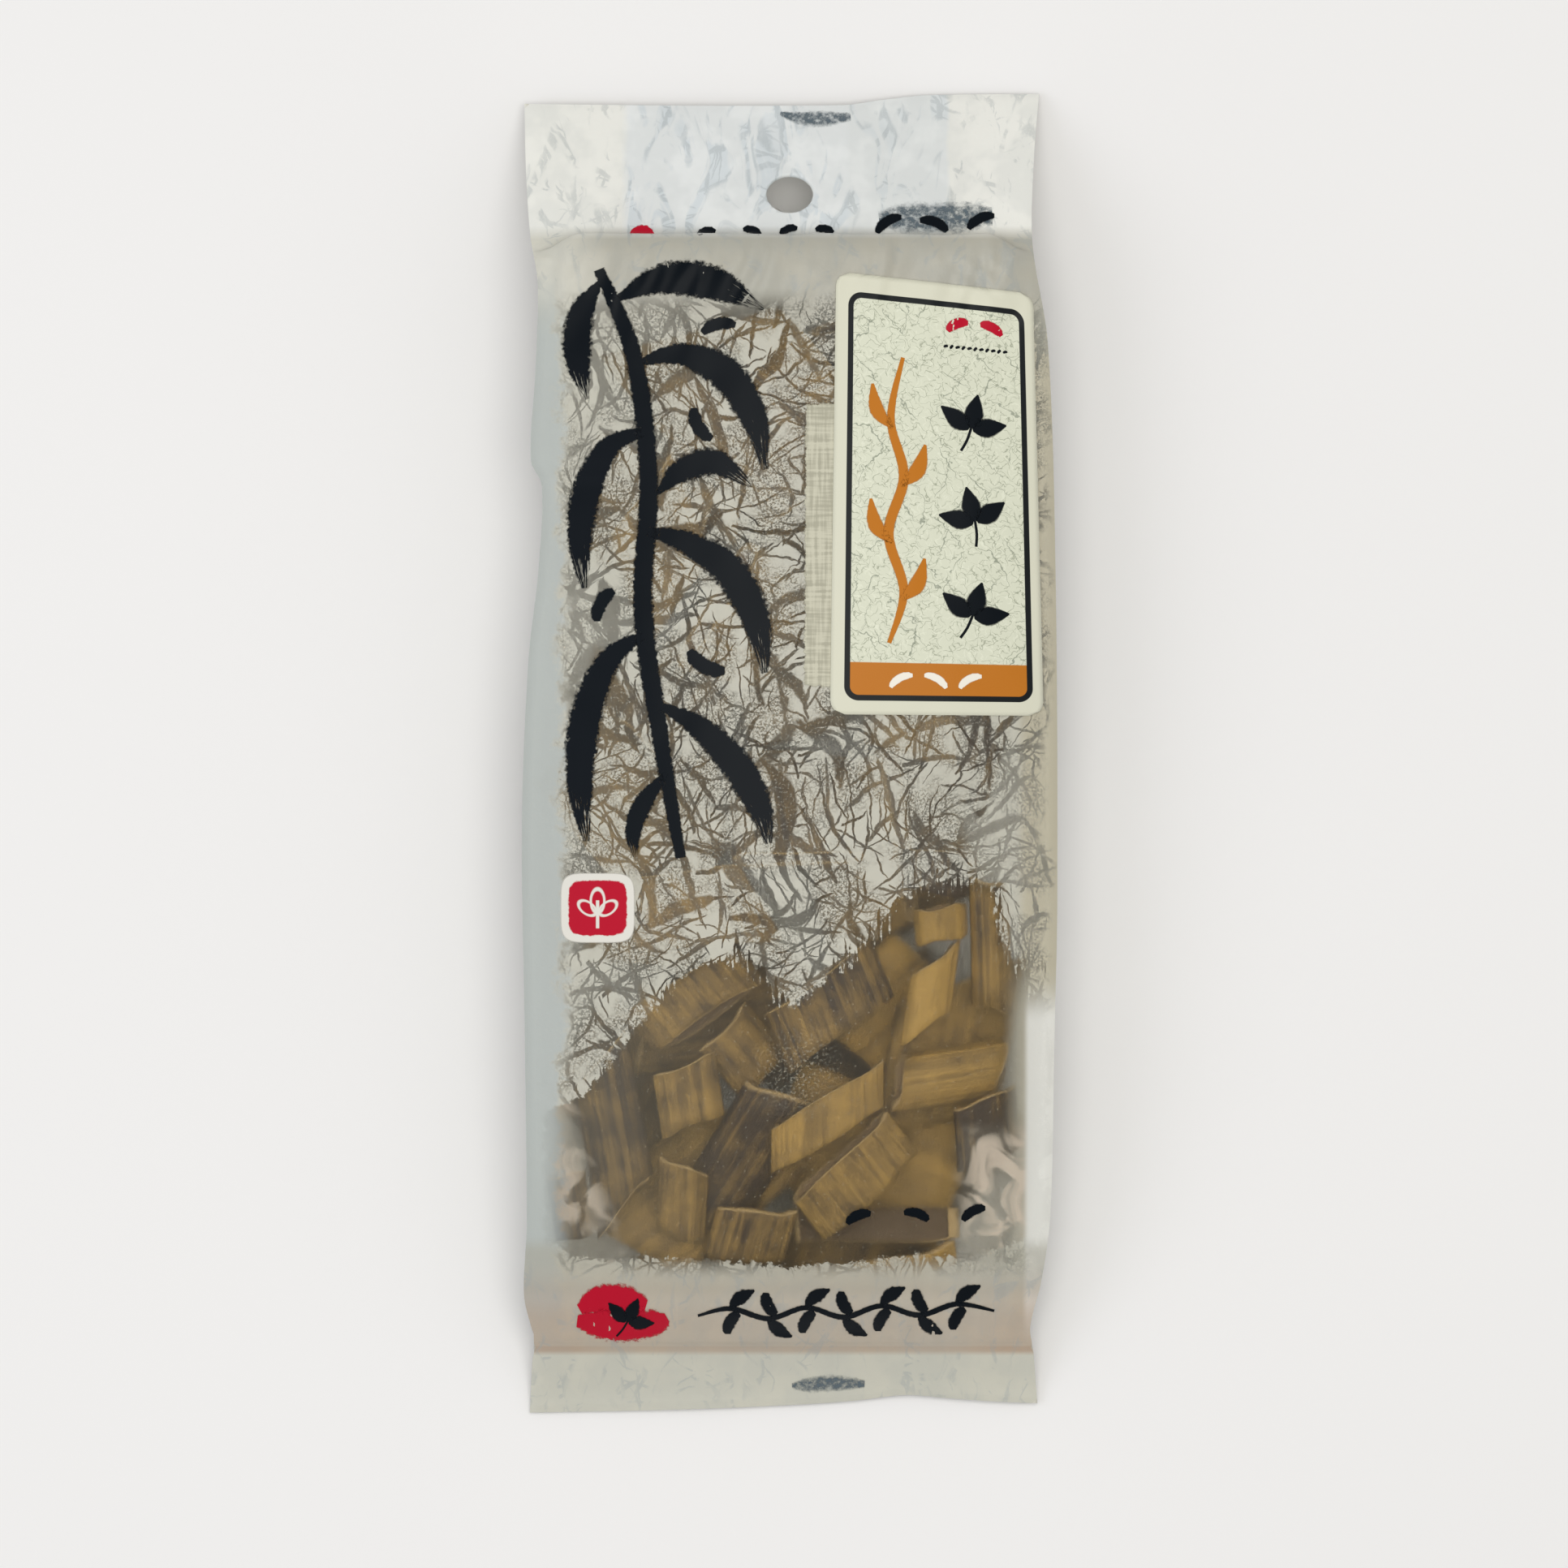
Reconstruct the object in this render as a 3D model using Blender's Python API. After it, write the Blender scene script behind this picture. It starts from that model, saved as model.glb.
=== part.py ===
"""Packet of dried sword bean pod slices, lying on its back: film pouch, paper label, loose slices.

X runs across the packet, Y from the bottom seal to the header, Z up from the surface it lies on.
"""
import math
import random

import bmesh
import bpy
from mathutils import Euler, Matrix, Vector
from mathutils.bvhtree import BVHTree

MM = 0.001

# Packet, as it lies.
HALF_LENGTH = 141.0 * MM
BOTTOM_SEAL_Y = -126.0 * MM
TOP_SEAL_Y = 106.0 * MM
TOP_SEAL_Z = 23.6 * MM
HEADER_TIP_Z = 0.5 * MM
FLAP_TIP_Z = 0.5 * MM
BOTTOM_SEAL_Z = 7.4 * MM
WALL = 0.6 * MM
PLATE = 0.8 * MM
SHOULDER_REACH = 4.0 * MM
SHOULDER_DROP = 1.6 * MM
SHOULDER_CREST = 0.3 * MM
# How much further the right end of each cut edge lies towards the header than the left end.
TOP_EDGE_SKEW = 2.0 * MM
BOTTOM_EDGE_SKEW = 2.6 * MM

# Hang hole in the header.
HANG_HOLE_X = 0.0 * MM
HANG_HOLE_Y = 119.0 * MM
HANG_HOLE_DIAMETER = 10.0 * MM

# Lapped seam down the middle of the back.
SEAM_HALF_WIDTH = 5.4 * MM
SEAM_RISE = 0.5 * MM
SEAM_EDGE = 0.4 * MM
SEAM_LIFT_HEIGHT = 8.0 * MM
SEAM_GAP = 0.5 * MM
SEAM_GAP_LENGTH = 60.0 * MM
SEAM_GAP_PLACE = (7.0 * MM, -10.0 * MM, 0.5 * MM)
CUTTER_DEPTH = 8.0 * MM

# Label on the upper right of the front, by its corners at the middle of its thickness.
LABEL_LOWER_LEFT = (8.5 * MM, 8.3 * MM)
LABEL_UPPER_LEFT = (9.8 * MM, 102.0 * MM)
LABEL_LOWER_RIGHT = (53.7 * MM, 8.0 * MM)
LABEL_UPPER_RIGHT = (51.5 * MM, 97.4 * MM)
LABEL_THICKNESS = 0.45 * MM
LABEL_LIFT = 0.35 * MM
LABEL_CORNER = 3.0 * MM
LABEL_STEPS_ACROSS = 12
LABEL_STEPS_ALONG = (0.0, 0.009, 0.03, 0.08, 0.16, 0.25, 0.34, 0.43, 0.52, 0.61, 0.7, 0.79, 0.87, 0.93,
                     0.97, 0.991, 1.0)

# Clearance between any two solids.
CLEARANCE = 0.3 * MM

# Dried pod.
POD_WALL = 1.6 * MM
POD_THICKNESS = 9.5 * MM
POD_BLUNTNESS = 0.8
SUTURE_RIDGE = 0.9 * MM
SUTURE_RIDGE_ANGLE = 0.45
LOOP_POINTS = 14
VALVE_POINTS = 8
VALVE_FAR_ANGLE = math.pi - 0.35
VALVE_BLADE = 1.12
CURL_HEIGHT = 0.9 * MM
CURL_SPAN = 15.0 * MM
TWIST = 0.12
CUT_WAVE = 0.5 * MM

# Filling the packet.
FILL_SLICES = 38
FILL_TRIES = 420
FILL_SEED = 21
PLACES_TRIED = 7
SETTLE_STEP = 0.5 * MM
PACKET_FLOOR = 0.9 * MM
PACKET_CEILING = 38.0 * MM
LOOP_SHARE = 0.62
LOOP_WIDTH = (27, 37)
LOOP_LENGTH = (15, 24)
VALVE_WIDTH = (16, 24)
VALVE_LENGTH = (24, 46)
SLANT_LIMIT = 35
FILL_X = 38
FILL_Y = (-108, 92)
# Above 1, more of the slices lie towards the foot, where they slid down behind the window.
FILL_SLIDE = 1.45

# Outline of the packet seen from the front: (y, x) in mm, from the bottom flap to the header's top.
LEFT_EDGE = ((-141, -55.5), (-129, -54.8), (-125.5, -54.0), (-122, -55.0), (-115, -56.5), (-100, -55.8),
             (-60, -56.1), (-15, -56.7), (20, -55.3), (39, -53.2), (57, -52.5), (62, -54.8), (82, -53.8),
             (100, -53.4), (110, -55.0), (125, -56.1), (141, -56.6))
RIGHT_EDGE = ((-141, 52.9), (-127, 51.9), (-122, 51.2), (-112, 53.5), (-98, 55.3), (-60, 56.1),
              (-30, 56.7), (40, 56.3), (87, 54.7), (108, 51.5), (125, 51.9), (141, 53.3))
# Heights in mm against y: top of the front panel, front creases, back panel, and gusset depth.
CROWN = ((-125, 9.5), (-118, 17), (-105, 27), (-85, 34.5), (-60, 37.3), (-20, 38), (30, 37.2), (70, 35.4),
         (94, 32.2), (106, 29.6), (111, 28))
FRONT_CREASE = ((-125, 8.6), (-118, 12.5), (-105, 18.5), (-85, 23.5), (-60, 26), (0, 26.5), (60, 26),
                (95, 25.6), (111, 25.2))
BACK_PANEL = ((-125, 6.2), (-118, 2.4), (-110, 0.3), (-104, 0), (66, 0), (78, 1.2), (90, 8), (100, 17),
              (105, 22))
GUSSET = ((-125, 3), (-121, 6), (-112, 11), (-95, 8), (-60, 5), (40, 5), (80, 8), (94, 11), (102, 8),
          (107, 2.5))
BELLY_STATIONS = (-123.5, -120, -114, -107, -98, -88, -76, -62, -47, -32, -16, 0, 16, 32, 46, 57, 62,
                  71, 79, 86, 92, 97, 101.5, 104.5)
FRONT_SPREAD = (-1.0, -0.9, -0.76, -0.55, -0.28, 0.0, 0.28, 0.55, 0.76, 0.9, 1.0)
BACK_SPREAD = (-40.0, -28.0, -15.0)
SIDE_POINTS = 9
FRONT_MARGIN = 3.2 * MM
CROWN_POWER = 2.4
CROWN_SHARE = 0.93
CREASE_RADIUS = 0.8 * MM
CREASE_SHARE = 0.15
FLAP_STATIONS = (-139.6, -136.5, -132, -127.5)
HEADER_STATIONS = (106.8, 112, 119, 126, 134, 140)

# Slices that lie against the front film, nearest first: name, kind, centre x and y in mm, turn in
# degrees, width across the pod, length along it, slant of the cuts, and the slice's own roll and tip
# against the film, all in degrees.
FRONT_SLICES = (
    ("valve_square", "valve", -21.4, -72.2, 8, 12.2, 13, 14, 0, -2.5),
    ("valve_bright", "valve", 29.8, -50.6, -8, 8.5, 14.5, 43, 0, 0),
    ("valve_ridged_long", "valve", -37.7, -80.8, 9, 12.4, 31, 42, 0, -10),
    ("valve_point_middle", "valve", 8.4, -76.7, 0, 21, 10, 31, 0, -2.5),
    ("valve_low_tan", "valve", -22.9, -94.5, -4, 9, 16, -20, 0, 0),
    ("loop_high_right", "loop", 31.6, -36.0, 4, 10.5, 7, 6, 0, 5),
    ("valve_right_edge", "valve", 42.4, -40.5, 2, 7.5, 27, -14, 0, -10),
    ("loop_upper_left", "loop", -20.0, -52.0, 40, 27, 10, -6, -8, 0),
    ("loop_long", "loop", 33.5, -67.6, -82, 11, 22, -20, 0, 0),
    ("loop_folded_rim", "loop", 13.6, -89.4, 37, 27, 11, 8, -1, -5),
    ("valve_brown_middle", "valve", -10.0, -85.5, -30, 14, 34, 10, 5, 0),
    ("valve_crescent", "valve", 19.0, -99.4, 7, 32, 7, 4, 150, -9),
    ("loop_upper_middle", "loop", 8.0, -53.6, 22, 26, 13, 14, 0, 0),
    ("valve_olive", "valve", -9.4, -63.0, 42, 13, 14, 4, 12.5, 7.5),
    ("valve_low_gold", "valve", 24.5, -108.1, 8, 20, 5.5, 4, 3, -4),
    ("valve_foot", "valve", -8.2, -102.0, -14, 15, 13, 8, 2.5, 0),
    ("valve_right_low", "valve", 42.0, -79.5, 6, 13, 14, 12, 0, 0),
    ("valve_dark_top", "valve", 30.6, -25.1, 0, 13, 9, -8, 0, -2.5),
    ("valve_low_left", "valve", -47.0, -96.0, 5, 8, 14, 10, 0, -20),
    ("loop_high_left", "loop", -24.0, -33.2, 30, 32, 18, -24, 0, 0),
)


def curve_value(points, at):
    """Height of a smooth curve through the given points, held flat past both ends."""
    if at <= points[0][0]:
        return points[0][1]
    if at >= points[-1][0]:
        return points[-1][1]
    index = max(i for i in range(len(points) - 1) if points[i][0] <= at)
    (a, va), (b, vb) = points[index], points[index + 1]
    before = points[max(index - 1, 0)]
    after = points[min(index + 2, len(points) - 1)]
    slope_a = (vb - before[1]) / (b - before[0])
    slope_b = (after[1] - va) / (after[0] - a)
    limit = 3 * abs(vb - va) / (b - a)
    slope_a = max(-limit, min(limit, slope_a))
    slope_b = max(-limit, min(limit, slope_b))
    t = (at - a) / (b - a)
    rise = (2 * t ** 3 - 3 * t ** 2 + 1) * va + (3 * t ** 2 - 2 * t ** 3) * vb
    return rise + (b - a) * ((t ** 3 - 2 * t ** 2 + t) * slope_a + (t ** 3 - t ** 2) * slope_b)


def reading(curve, y):
    """Value of one of the curves above at y, in metres."""
    return curve_value(curve, y / MM) * MM


def clear_scene():
    for thing in list(bpy.data.objects):
        bpy.data.objects.remove(thing, do_unlink=True)


def collection(name):
    made = bpy.data.collections.new(name)
    bpy.context.scene.collection.children.link(made)
    return made


def material(name, colour, roughness, alpha=1.0):
    made = bpy.data.materials.new(name)
    made.use_nodes = True
    shader = made.node_tree.nodes["Principled BSDF"]
    shader.inputs["Base Color"].default_value = (*colour, 1.0)
    shader.inputs["Roughness"].default_value = roughness
    shader.inputs["Metallic"].default_value = 0.0
    shader.inputs["Alpha"].default_value = alpha
    return made


def add_object(name, bm, group, paint=None):
    mesh = bpy.data.meshes.new(name)
    bm.to_mesh(mesh)
    mesh.shade_smooth()
    mesh.set_sharp_from_angle(angle=math.radians(35))
    made = bpy.data.objects.new(name, mesh)
    group.objects.link(made)
    if paint:
        mesh.materials.append(paint)
    return made


def loft(rows, round_rows):
    """Closed body through closed sections; round_rows joins the last section to the first."""
    bm = bmesh.new()
    grid = [[bm.verts.new(point) for point in row] for row in rows]
    pairs = list(zip(grid, grid[1:]))
    if round_rows:
        pairs.append((grid[-1], grid[0]))
    count = len(grid[0])
    for near, far in pairs:
        for i in range(count):
            j = (i + 1) % count
            bm.faces.new((near[i], near[j], far[j], far[i]))
    if not round_rows:
        bm.faces.new(grid[0])
        bm.faces.new(grid[-1])
    bm.normal_update()
    bmesh.ops.triangulate(bm, faces=bm.faces[:])
    bmesh.ops.recalc_face_normals(bm, faces=bm.faces[:])
    return bm


def front_height(x, y, inset=0.0):
    """Height of the front film over (x, y): a crown that falls to the creases."""
    left = reading(LEFT_EDGE, y) + inset
    right = reading(RIGHT_EDGE, y) - inset
    crown = reading(CROWN, y) - inset
    crease = reading(FRONT_CREASE, y) - inset
    share = (x - 0.5 * (left + right)) / (0.5 * (right - left) - FRONT_MARGIN)
    return crease + (crown - crease) * (1.0 - CROWN_SHARE * min(1.0, abs(share)) ** CROWN_POWER)


def front_tilt(x, y):
    """Turn that lays a flat piece along the front film at (x, y)."""
    step = 2 * MM
    across = (front_height(x + step, y) - front_height(x - step, y)) / (2 * step)
    along = (front_height(x, y + step) - front_height(x, y - step)) / (2 * step)
    return Vector((0, 0, 1)).rotation_difference(Vector((-across, -along, 1.0))).to_matrix()


def seam_points(back, inner_side):
    """The lapped strip on the back: level with the back outside, a low step inside."""
    near = SEAM_HALF_WIDTH
    far = SEAM_HALF_WIDTH + SEAM_EDGE
    if inner_side:
        step = back + SEAM_RISE
        return [(-far - SEAM_EDGE, step), (-far, step), (far, step), (far + SEAM_EDGE, step)]
    step = back + SEAM_RISE * (1.0 - min(1.0, back / SEAM_LIFT_HEIGHT))
    return [(-far, step), (-near, back), (near, back), (far, step)]


def belly_section(y, inset):
    """Section of the filled part at y: flat back, gusseted sides, crowned front."""
    left = reading(LEFT_EDGE, y) + inset
    right = reading(RIGHT_EDGE, y) - inset
    crease = reading(FRONT_CREASE, y) - inset
    back = reading(BACK_PANEL, y) + inset
    depth = reading(GUSSET, y) + inset
    points = [(x * MM, back) for x in BACK_SPREAD]
    points += seam_points(back, inset > 0.0)
    points += [(-x * MM, back) for x in reversed(BACK_SPREAD)]
    middle = 0.5 * (back + crease)
    soft = min(CREASE_RADIUS, CREASE_SHARE * (crease - back))
    low = back + 1.5 * soft
    high = crease - soft
    lower = [(1.5 * soft, back), (0.0, low)]
    lower += [(depth * t, low + (middle - low) * t) for t in (0.4, 0.8)]
    upper = [(depth * t, high + (middle - high) * t) for t in (0.8, 0.4)]
    side = lower + [(depth, middle)] + upper + [(0.0, high), (soft, crease)]
    points += [(right - dx, z) for dx, z in side]
    points += [(x, front_height(x, y, inset)) for x in front_places(left, right)]
    points += [(left + dx, z) for dx, z in reversed(side)]
    return [Vector((x, y, z)) for x, z in points]


def front_places(left, right):
    """Places of the front panel's points across the packet, from right to left."""
    centre = 0.5 * (left + right)
    reach = 0.5 * (right - left) - FRONT_MARGIN
    return [centre + spread * reach for spread in reversed(FRONT_SPREAD)]


def plate_section(y, height, skew=0.0):
    """Section of a pressed seal at y: two faces a plate's thickness apart, with soft edges."""
    left = reading(LEFT_EDGE, y)
    right = reading(RIGHT_EDGE, y)
    half = PLATE / 2
    inner = SEAM_HALF_WIDTH
    outer = SEAM_HALF_WIDTH + SEAM_EDGE
    xs = [x * MM for x in BACK_SPREAD] + [-outer, -inner, inner, outer]
    xs += [-x * MM for x in reversed(BACK_SPREAD)]
    points = [(x, -half) for x in xs]
    lower = [(1.2 * MM, -half), (0.3 * MM, -0.8 * half), (0.0, -0.5 * half), (0.0, -0.25 * half)]
    side = lower + [(0.0, 0.0)] + [(dx, -z) for dx, z in reversed(lower)]
    points += [(right - dx, z) for dx, z in side]
    points += [(x, half) for x in front_places(left, right)]
    points += [(left + dx, z) for dx, z in reversed(side)]
    return [Vector((x, y + 0.5 * skew * x / right, height + z)) for x, z in points]


def shoulder_section(reach, drop):
    """Section where the front panel stands out over the header's root like a soft shoulder."""
    base = belly_section(TOP_SEAL_Y - 1.0 * MM, 0.0)
    first_front = len(BACK_SPREAD) * 2 + 4 + SIDE_POINTS
    for spread, point in zip(FRONT_SPREAD, base[first_front:]):
        share = min(1.0, 0.3 + 5.0 * (1.0 - abs(spread)))
        point.y += (reach + 1.0 * MM) * share
        point.z -= drop * share
    return base


def header_height(y):
    t = (y - TOP_SEAL_Y) / (HALF_LENGTH - TOP_SEAL_Y)
    return TOP_SEAL_Z + (HEADER_TIP_Z - TOP_SEAL_Z) * t


def flap_height(y):
    t = (BOTTOM_SEAL_Y - y) / (BOTTOM_SEAL_Y + HALF_LENGTH)
    return BOTTOM_SEAL_Z + (FLAP_TIP_Z - BOTTOM_SEAL_Z) * math.sin(t * math.pi / 2)


def pouch_sections():
    """Every section of the pouch's outside, from the bottom flap to the header's top edge."""
    rows = []
    for y in FLAP_STATIONS:
        share = (y - FLAP_STATIONS[-1]) / (FLAP_STATIONS[0] - FLAP_STATIONS[-1])
        rows.append(plate_section(y * MM, flap_height(y * MM), BOTTOM_EDGE_SKEW * share))
    rows += [belly_section(y * MM, 0.0) for y in BELLY_STATIONS]
    rows.append(shoulder_section(0.6 * SHOULDER_REACH, -SHOULDER_CREST))
    rows.append(shoulder_section(SHOULDER_REACH, SHOULDER_DROP))
    for y in HEADER_STATIONS:
        share = (y - HEADER_STATIONS[0]) / (HEADER_STATIONS[-1] - HEADER_STATIONS[0])
        rows.append(plate_section(y * MM, header_height(y * MM), TOP_EDGE_SKEW * share))
    return rows


def cut(target, cutter):
    tool = target.modifiers.new("cut_" + cutter.name, "BOOLEAN")
    tool.operation = "DIFFERENCE"
    tool.solver = "EXACT"
    tool.object = cutter
    cutter.hide_render = True
    cutter.display_type = "WIRE"


def move_to(thing, group):
    for old in list(thing.users_collection):
        old.objects.unlink(thing)
    group.objects.link(thing)


def hang_hole_cutter(group):
    """Round cutter square to the sloping header."""
    bpy.ops.mesh.primitive_cylinder_add(vertices=28, radius=HANG_HOLE_DIAMETER / 2, depth=CUTTER_DEPTH)
    cutter = bpy.context.object
    cutter.name = "hang_hole_cutter"
    slope = math.atan2(TOP_SEAL_Z - HEADER_TIP_Z, HALF_LENGTH - TOP_SEAL_Y)
    cutter.rotation_euler = (-slope, 0.0, 0.0)
    cutter.location = (HANG_HOLE_X, HANG_HOLE_Y, header_height(HANG_HOLE_Y))
    move_to(cutter, group)
    return cutter


def seam_gap_cutter(group):
    """Narrow gap beside the back seam, where the lapped edges of the film aren't pressed together."""
    bpy.ops.mesh.primitive_cube_add(size=1.0)
    cutter = bpy.context.object
    cutter.name = "seam_gap_cutter"
    cutter.scale = (SEAM_GAP, SEAM_GAP_LENGTH, CUTTER_DEPTH / 2)
    cutter.location = SEAM_GAP_PLACE
    move_to(cutter, group)
    return cutter


def film_pouch(group, cutters):
    pouch = add_object("film_pouch", loft(pouch_sections(), False), group,
                       material("printed_film", (0.72, 0.72, 0.66), 0.45))
    inside = [belly_section(y * MM, WALL) for y in BELLY_STATIONS[1:-2]]
    cavity = add_object("pouch_cavity", loft(inside, False), cutters)
    cut(pouch, cavity)
    cut(pouch, seam_gap_cutter(cutters))
    cut(pouch, hang_hole_cutter(cutters))
    return pouch, cavity


def evaluated_tree(thing):
    """Search tree of an object's mesh with its modifiers, in world space."""
    bpy.context.view_layer.update()
    return BVHTree.FromObject(thing, bpy.context.evaluated_depsgraph_get())


def label_point(u, v):
    """Place on the label's outline plane for u and v from 0 to 1."""
    low = Vector(LABEL_LOWER_LEFT).lerp(Vector(LABEL_LOWER_RIGHT), u)
    high = Vector(LABEL_UPPER_LEFT).lerp(Vector(LABEL_UPPER_RIGHT), u)
    return low.lerp(high, v)


def rounded_reach(v, length):
    """How far the label's side edges stand in near its rounded corners."""
    near = min(v, 1.0 - v) * length
    if near >= LABEL_CORNER:
        return 0.0
    return LABEL_CORNER - math.sqrt(LABEL_CORNER ** 2 - (LABEL_CORNER - near) ** 2)


def label_sticker(group, pouch):
    """Thin sheet that follows the front film, made as a loft of flat sections along Y."""
    tree = evaluated_tree(pouch)
    length = LABEL_UPPER_LEFT[1] - LABEL_LOWER_LEFT[1]
    width = LABEL_LOWER_RIGHT[0] - LABEL_LOWER_LEFT[0]
    rows = []
    for v in LABEL_STEPS_ALONG:
        inset = rounded_reach(v, length) / width
        under = []
        for i in range(LABEL_STEPS_ACROSS + 1):
            u = inset + (1.0 - 2 * inset) * i / LABEL_STEPS_ACROSS
            flat = label_point(u, v)
            hit = tree.ray_cast(Vector((flat.x, flat.y, 0.1)), Vector((0, 0, -1)))[0]
            under.append(Vector((flat.x, flat.y, hit.z + LABEL_LIFT)))
        over = [point + Vector((0, 0, LABEL_THICKNESS)) for point in reversed(under)]
        rows.append(under + over)
    return add_object("label_sticker", loft(rows, False), group,
                      material("label_paper", (0.86, 0.85, 0.74), 0.55))


def pod_outline(angle, width, thickness, grow):
    """Point of the flat pod's outline at an angle, grown outward; a ridge runs beside each suture."""
    across = math.cos(angle)
    blunt = math.copysign(abs(across) ** POD_BLUNTNESS, across)
    ridge = SUTURE_RIDGE * max(0.0, 1.0 - abs(angle) / SUTURE_RIDGE_ANGLE) if grow == 0.0 else 0.0
    side = math.copysign(abs(math.sin(angle)) ** POD_BLUNTNESS, math.sin(angle))
    x = (width / 2 + grow) * blunt + ridge
    z = (thickness / 2 + grow) * side * (1.0 - 0.18 * across)
    return x, z


def slice_mesh(kind, width, length, slant, dice):
    """One slice about its own centre: a loop all round the pod, or a piece of one valve."""
    if kind == "loop":
        angles = [2 * math.pi * (i + 0.5) / LOOP_POINTS - math.pi for i in range(LOOP_POINTS)]
        pod_width = width
        pod_thickness = POD_THICKNESS * dice.uniform(0.85, 1.15)
    else:
        pod_width = width * VALVE_BLADE
        pod_thickness = POD_THICKNESS * dice.uniform(0.7, 1.0)
        start = dice.uniform(0.02, 0.2)
        angles = [start + (VALVE_FAR_ANGLE - start) * i / (VALVE_POINTS - 1) for i in range(VALVE_POINTS)]
    lean = math.tan(math.radians(slant))
    curl = dice.uniform(-CURL_HEIGHT, CURL_HEIGHT) / CURL_SPAN ** 2
    twist = dice.uniform(-TWIST, TWIST)
    waves = [dice.uniform(-CUT_WAVE, CUT_WAVE) for _ in angles]
    rows = []
    for angle, wave in zip(angles, waves):
        outer = pod_outline(angle, pod_width, pod_thickness, 0.0)
        inner = pod_outline(angle, pod_width, pod_thickness, -POD_WALL)
        section = []
        for x, z, order in ((*outer, (-0.5, 0.0, 0.5)), (*inner, (0.5, 0.0, -0.5))):
            for s in order:
                y = s * length + lean * x + wave * s
                bend = curl * y * y
                section.append(Vector((x, y, z + bend + twist * y * x / width)))
        rows.append(section)
    bm = loft(rows, kind == "loop")
    middle = sum((v.co for v in bm.verts), Vector()) / len(bm.verts)
    bmesh.ops.translate(bm, verts=bm.verts[:], vec=-middle)
    return bm


def extent(points):
    """Lowest and highest corners of some points."""
    low = [min(p[k] for p in points) for k in range(3)]
    high = [max(p[k] for p in points) for k in range(3)]
    return low, high


class Heap:
    """The slices placed so far, and the room that is left for the next one."""

    def __init__(self, cavity):
        self.room = evaluated_tree(cavity)
        self.taken = []

    def free(self, points, faces):
        tree = BVHTree.FromPolygons(points, faces)
        if tree.overlap(self.room):
            return False
        low, high = extent(points)
        for other, other_low, other_high in self.taken:
            apart = any(low[k] > other_high[k] or high[k] < other_low[k] for k in range(3))
            if not apart and tree.overlap(other):
                return False
        return True

    def inside(self, point):
        """True where the packet's inner wall lies both above and below the point."""
        up = self.room.ray_cast(point, Vector((0, 0, 1)))
        down = self.room.ray_cast(point, Vector((0, 0, -1)))
        return up[0] is not None and down[0] is not None

    def settle(self, bm, x, y, turn, from_top):
        """Highest or lowest place over (x, y) where the slice and its clearance fit, or None."""
        skin = [v.co + v.normal * CLEARANCE for v in bm.verts]
        faces = [[v.index for v in f.verts] for f in bm.faces]
        turned = [turn @ point + Vector((x, y, 0.0)) for point in skin]
        low, high = extent(turned)
        lowest = PACKET_FLOOR - low[2]
        highest = PACKET_CEILING - high[2]
        count = int((highest - lowest) / SETTLE_STEP)
        heights = [lowest + SETTLE_STEP * i for i in range(count + 1)]
        if from_top:
            heights.reverse()
        for height in heights:
            points = [p + Vector((0, 0, height)) for p in turned]
            if self.inside(points[0]) and self.free(points, faces):
                return height, points, faces
        return None

    def keep(self, points, faces):
        low, high = extent(points)
        self.taken.append((BVHTree.FromPolygons(points, faces), low, high))


def place(bm, x, y, turn, height):
    matrix = Matrix.Translation((x, y, height)) @ turn.to_4x4()
    bmesh.ops.transform(bm, matrix=matrix, verts=bm.verts[:])


def front_slices(group, heap, paints):
    """The slices seen through the window, nearest first, each as high as it goes."""
    dice = random.Random(FILL_SEED)
    for name, kind, x, y, turn, width, length, slant, roll, tip in FRONT_SLICES:
        bm = slice_mesh(kind, width * MM, length * MM, slant, dice)
        bm.normal_update()
        lie = Euler((math.radians(roll), math.radians(tip), math.radians(turn)), "XYZ").to_matrix()
        spin = front_tilt(x * MM, y * MM) @ lie
        found = heap.settle(bm, x * MM, y * MM, spin, True)
        if found is None:
            raise RuntimeError(f"no room for the front slice {name}")
        height, points, faces = found
        heap.keep(points, faces)
        place(bm, x * MM, y * MM, spin, height)
        add_object("slice_" + name, bm, group, paints[kind])


def fill_slices(group, heap, paints):
    """The rest of the heap: each slice takes the lowest or highest of a few tried places."""
    dice = random.Random(FILL_SEED + 1)
    made = 0
    tries = 0
    while made < FILL_SLICES and tries < FILL_TRIES:
        tries += 1
        kind = "loop" if dice.random() < LOOP_SHARE else "valve"
        width = dice.uniform(*(LOOP_WIDTH if kind == "loop" else VALVE_WIDTH)) * MM
        length = dice.uniform(*(LOOP_LENGTH if kind == "loop" else VALVE_LENGTH)) * MM
        bm = slice_mesh(kind, width, length, dice.uniform(-SLANT_LIMIT, SLANT_LIMIT), dice)
        bm.normal_update()
        from_top = made % 2 == 0
        best = None
        for _ in range(PLACES_TRIED):
            x = dice.uniform(-FILL_X, FILL_X) * MM
            y = (FILL_Y[0] + (FILL_Y[1] - FILL_Y[0]) * dice.random() ** FILL_SLIDE) * MM
            lean = (dice.uniform(-0.5, 0.5), dice.uniform(-0.35, 0.35), dice.uniform(0.0, 2 * math.pi))
            spin = Euler(lean).to_matrix()
            found = heap.settle(bm, x, y, spin, from_top)
            if found and (best is None or (found[0] > best[3][0]) == from_top):
                best = (x, y, spin, found)
        if best is None:
            continue
        x, y, spin, (height, points, faces) = best
        heap.keep(points, faces)
        place(bm, x, y, spin, height)
        made += 1
        add_object(f"slice_{made:02d}", bm, group, paints[kind])


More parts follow.
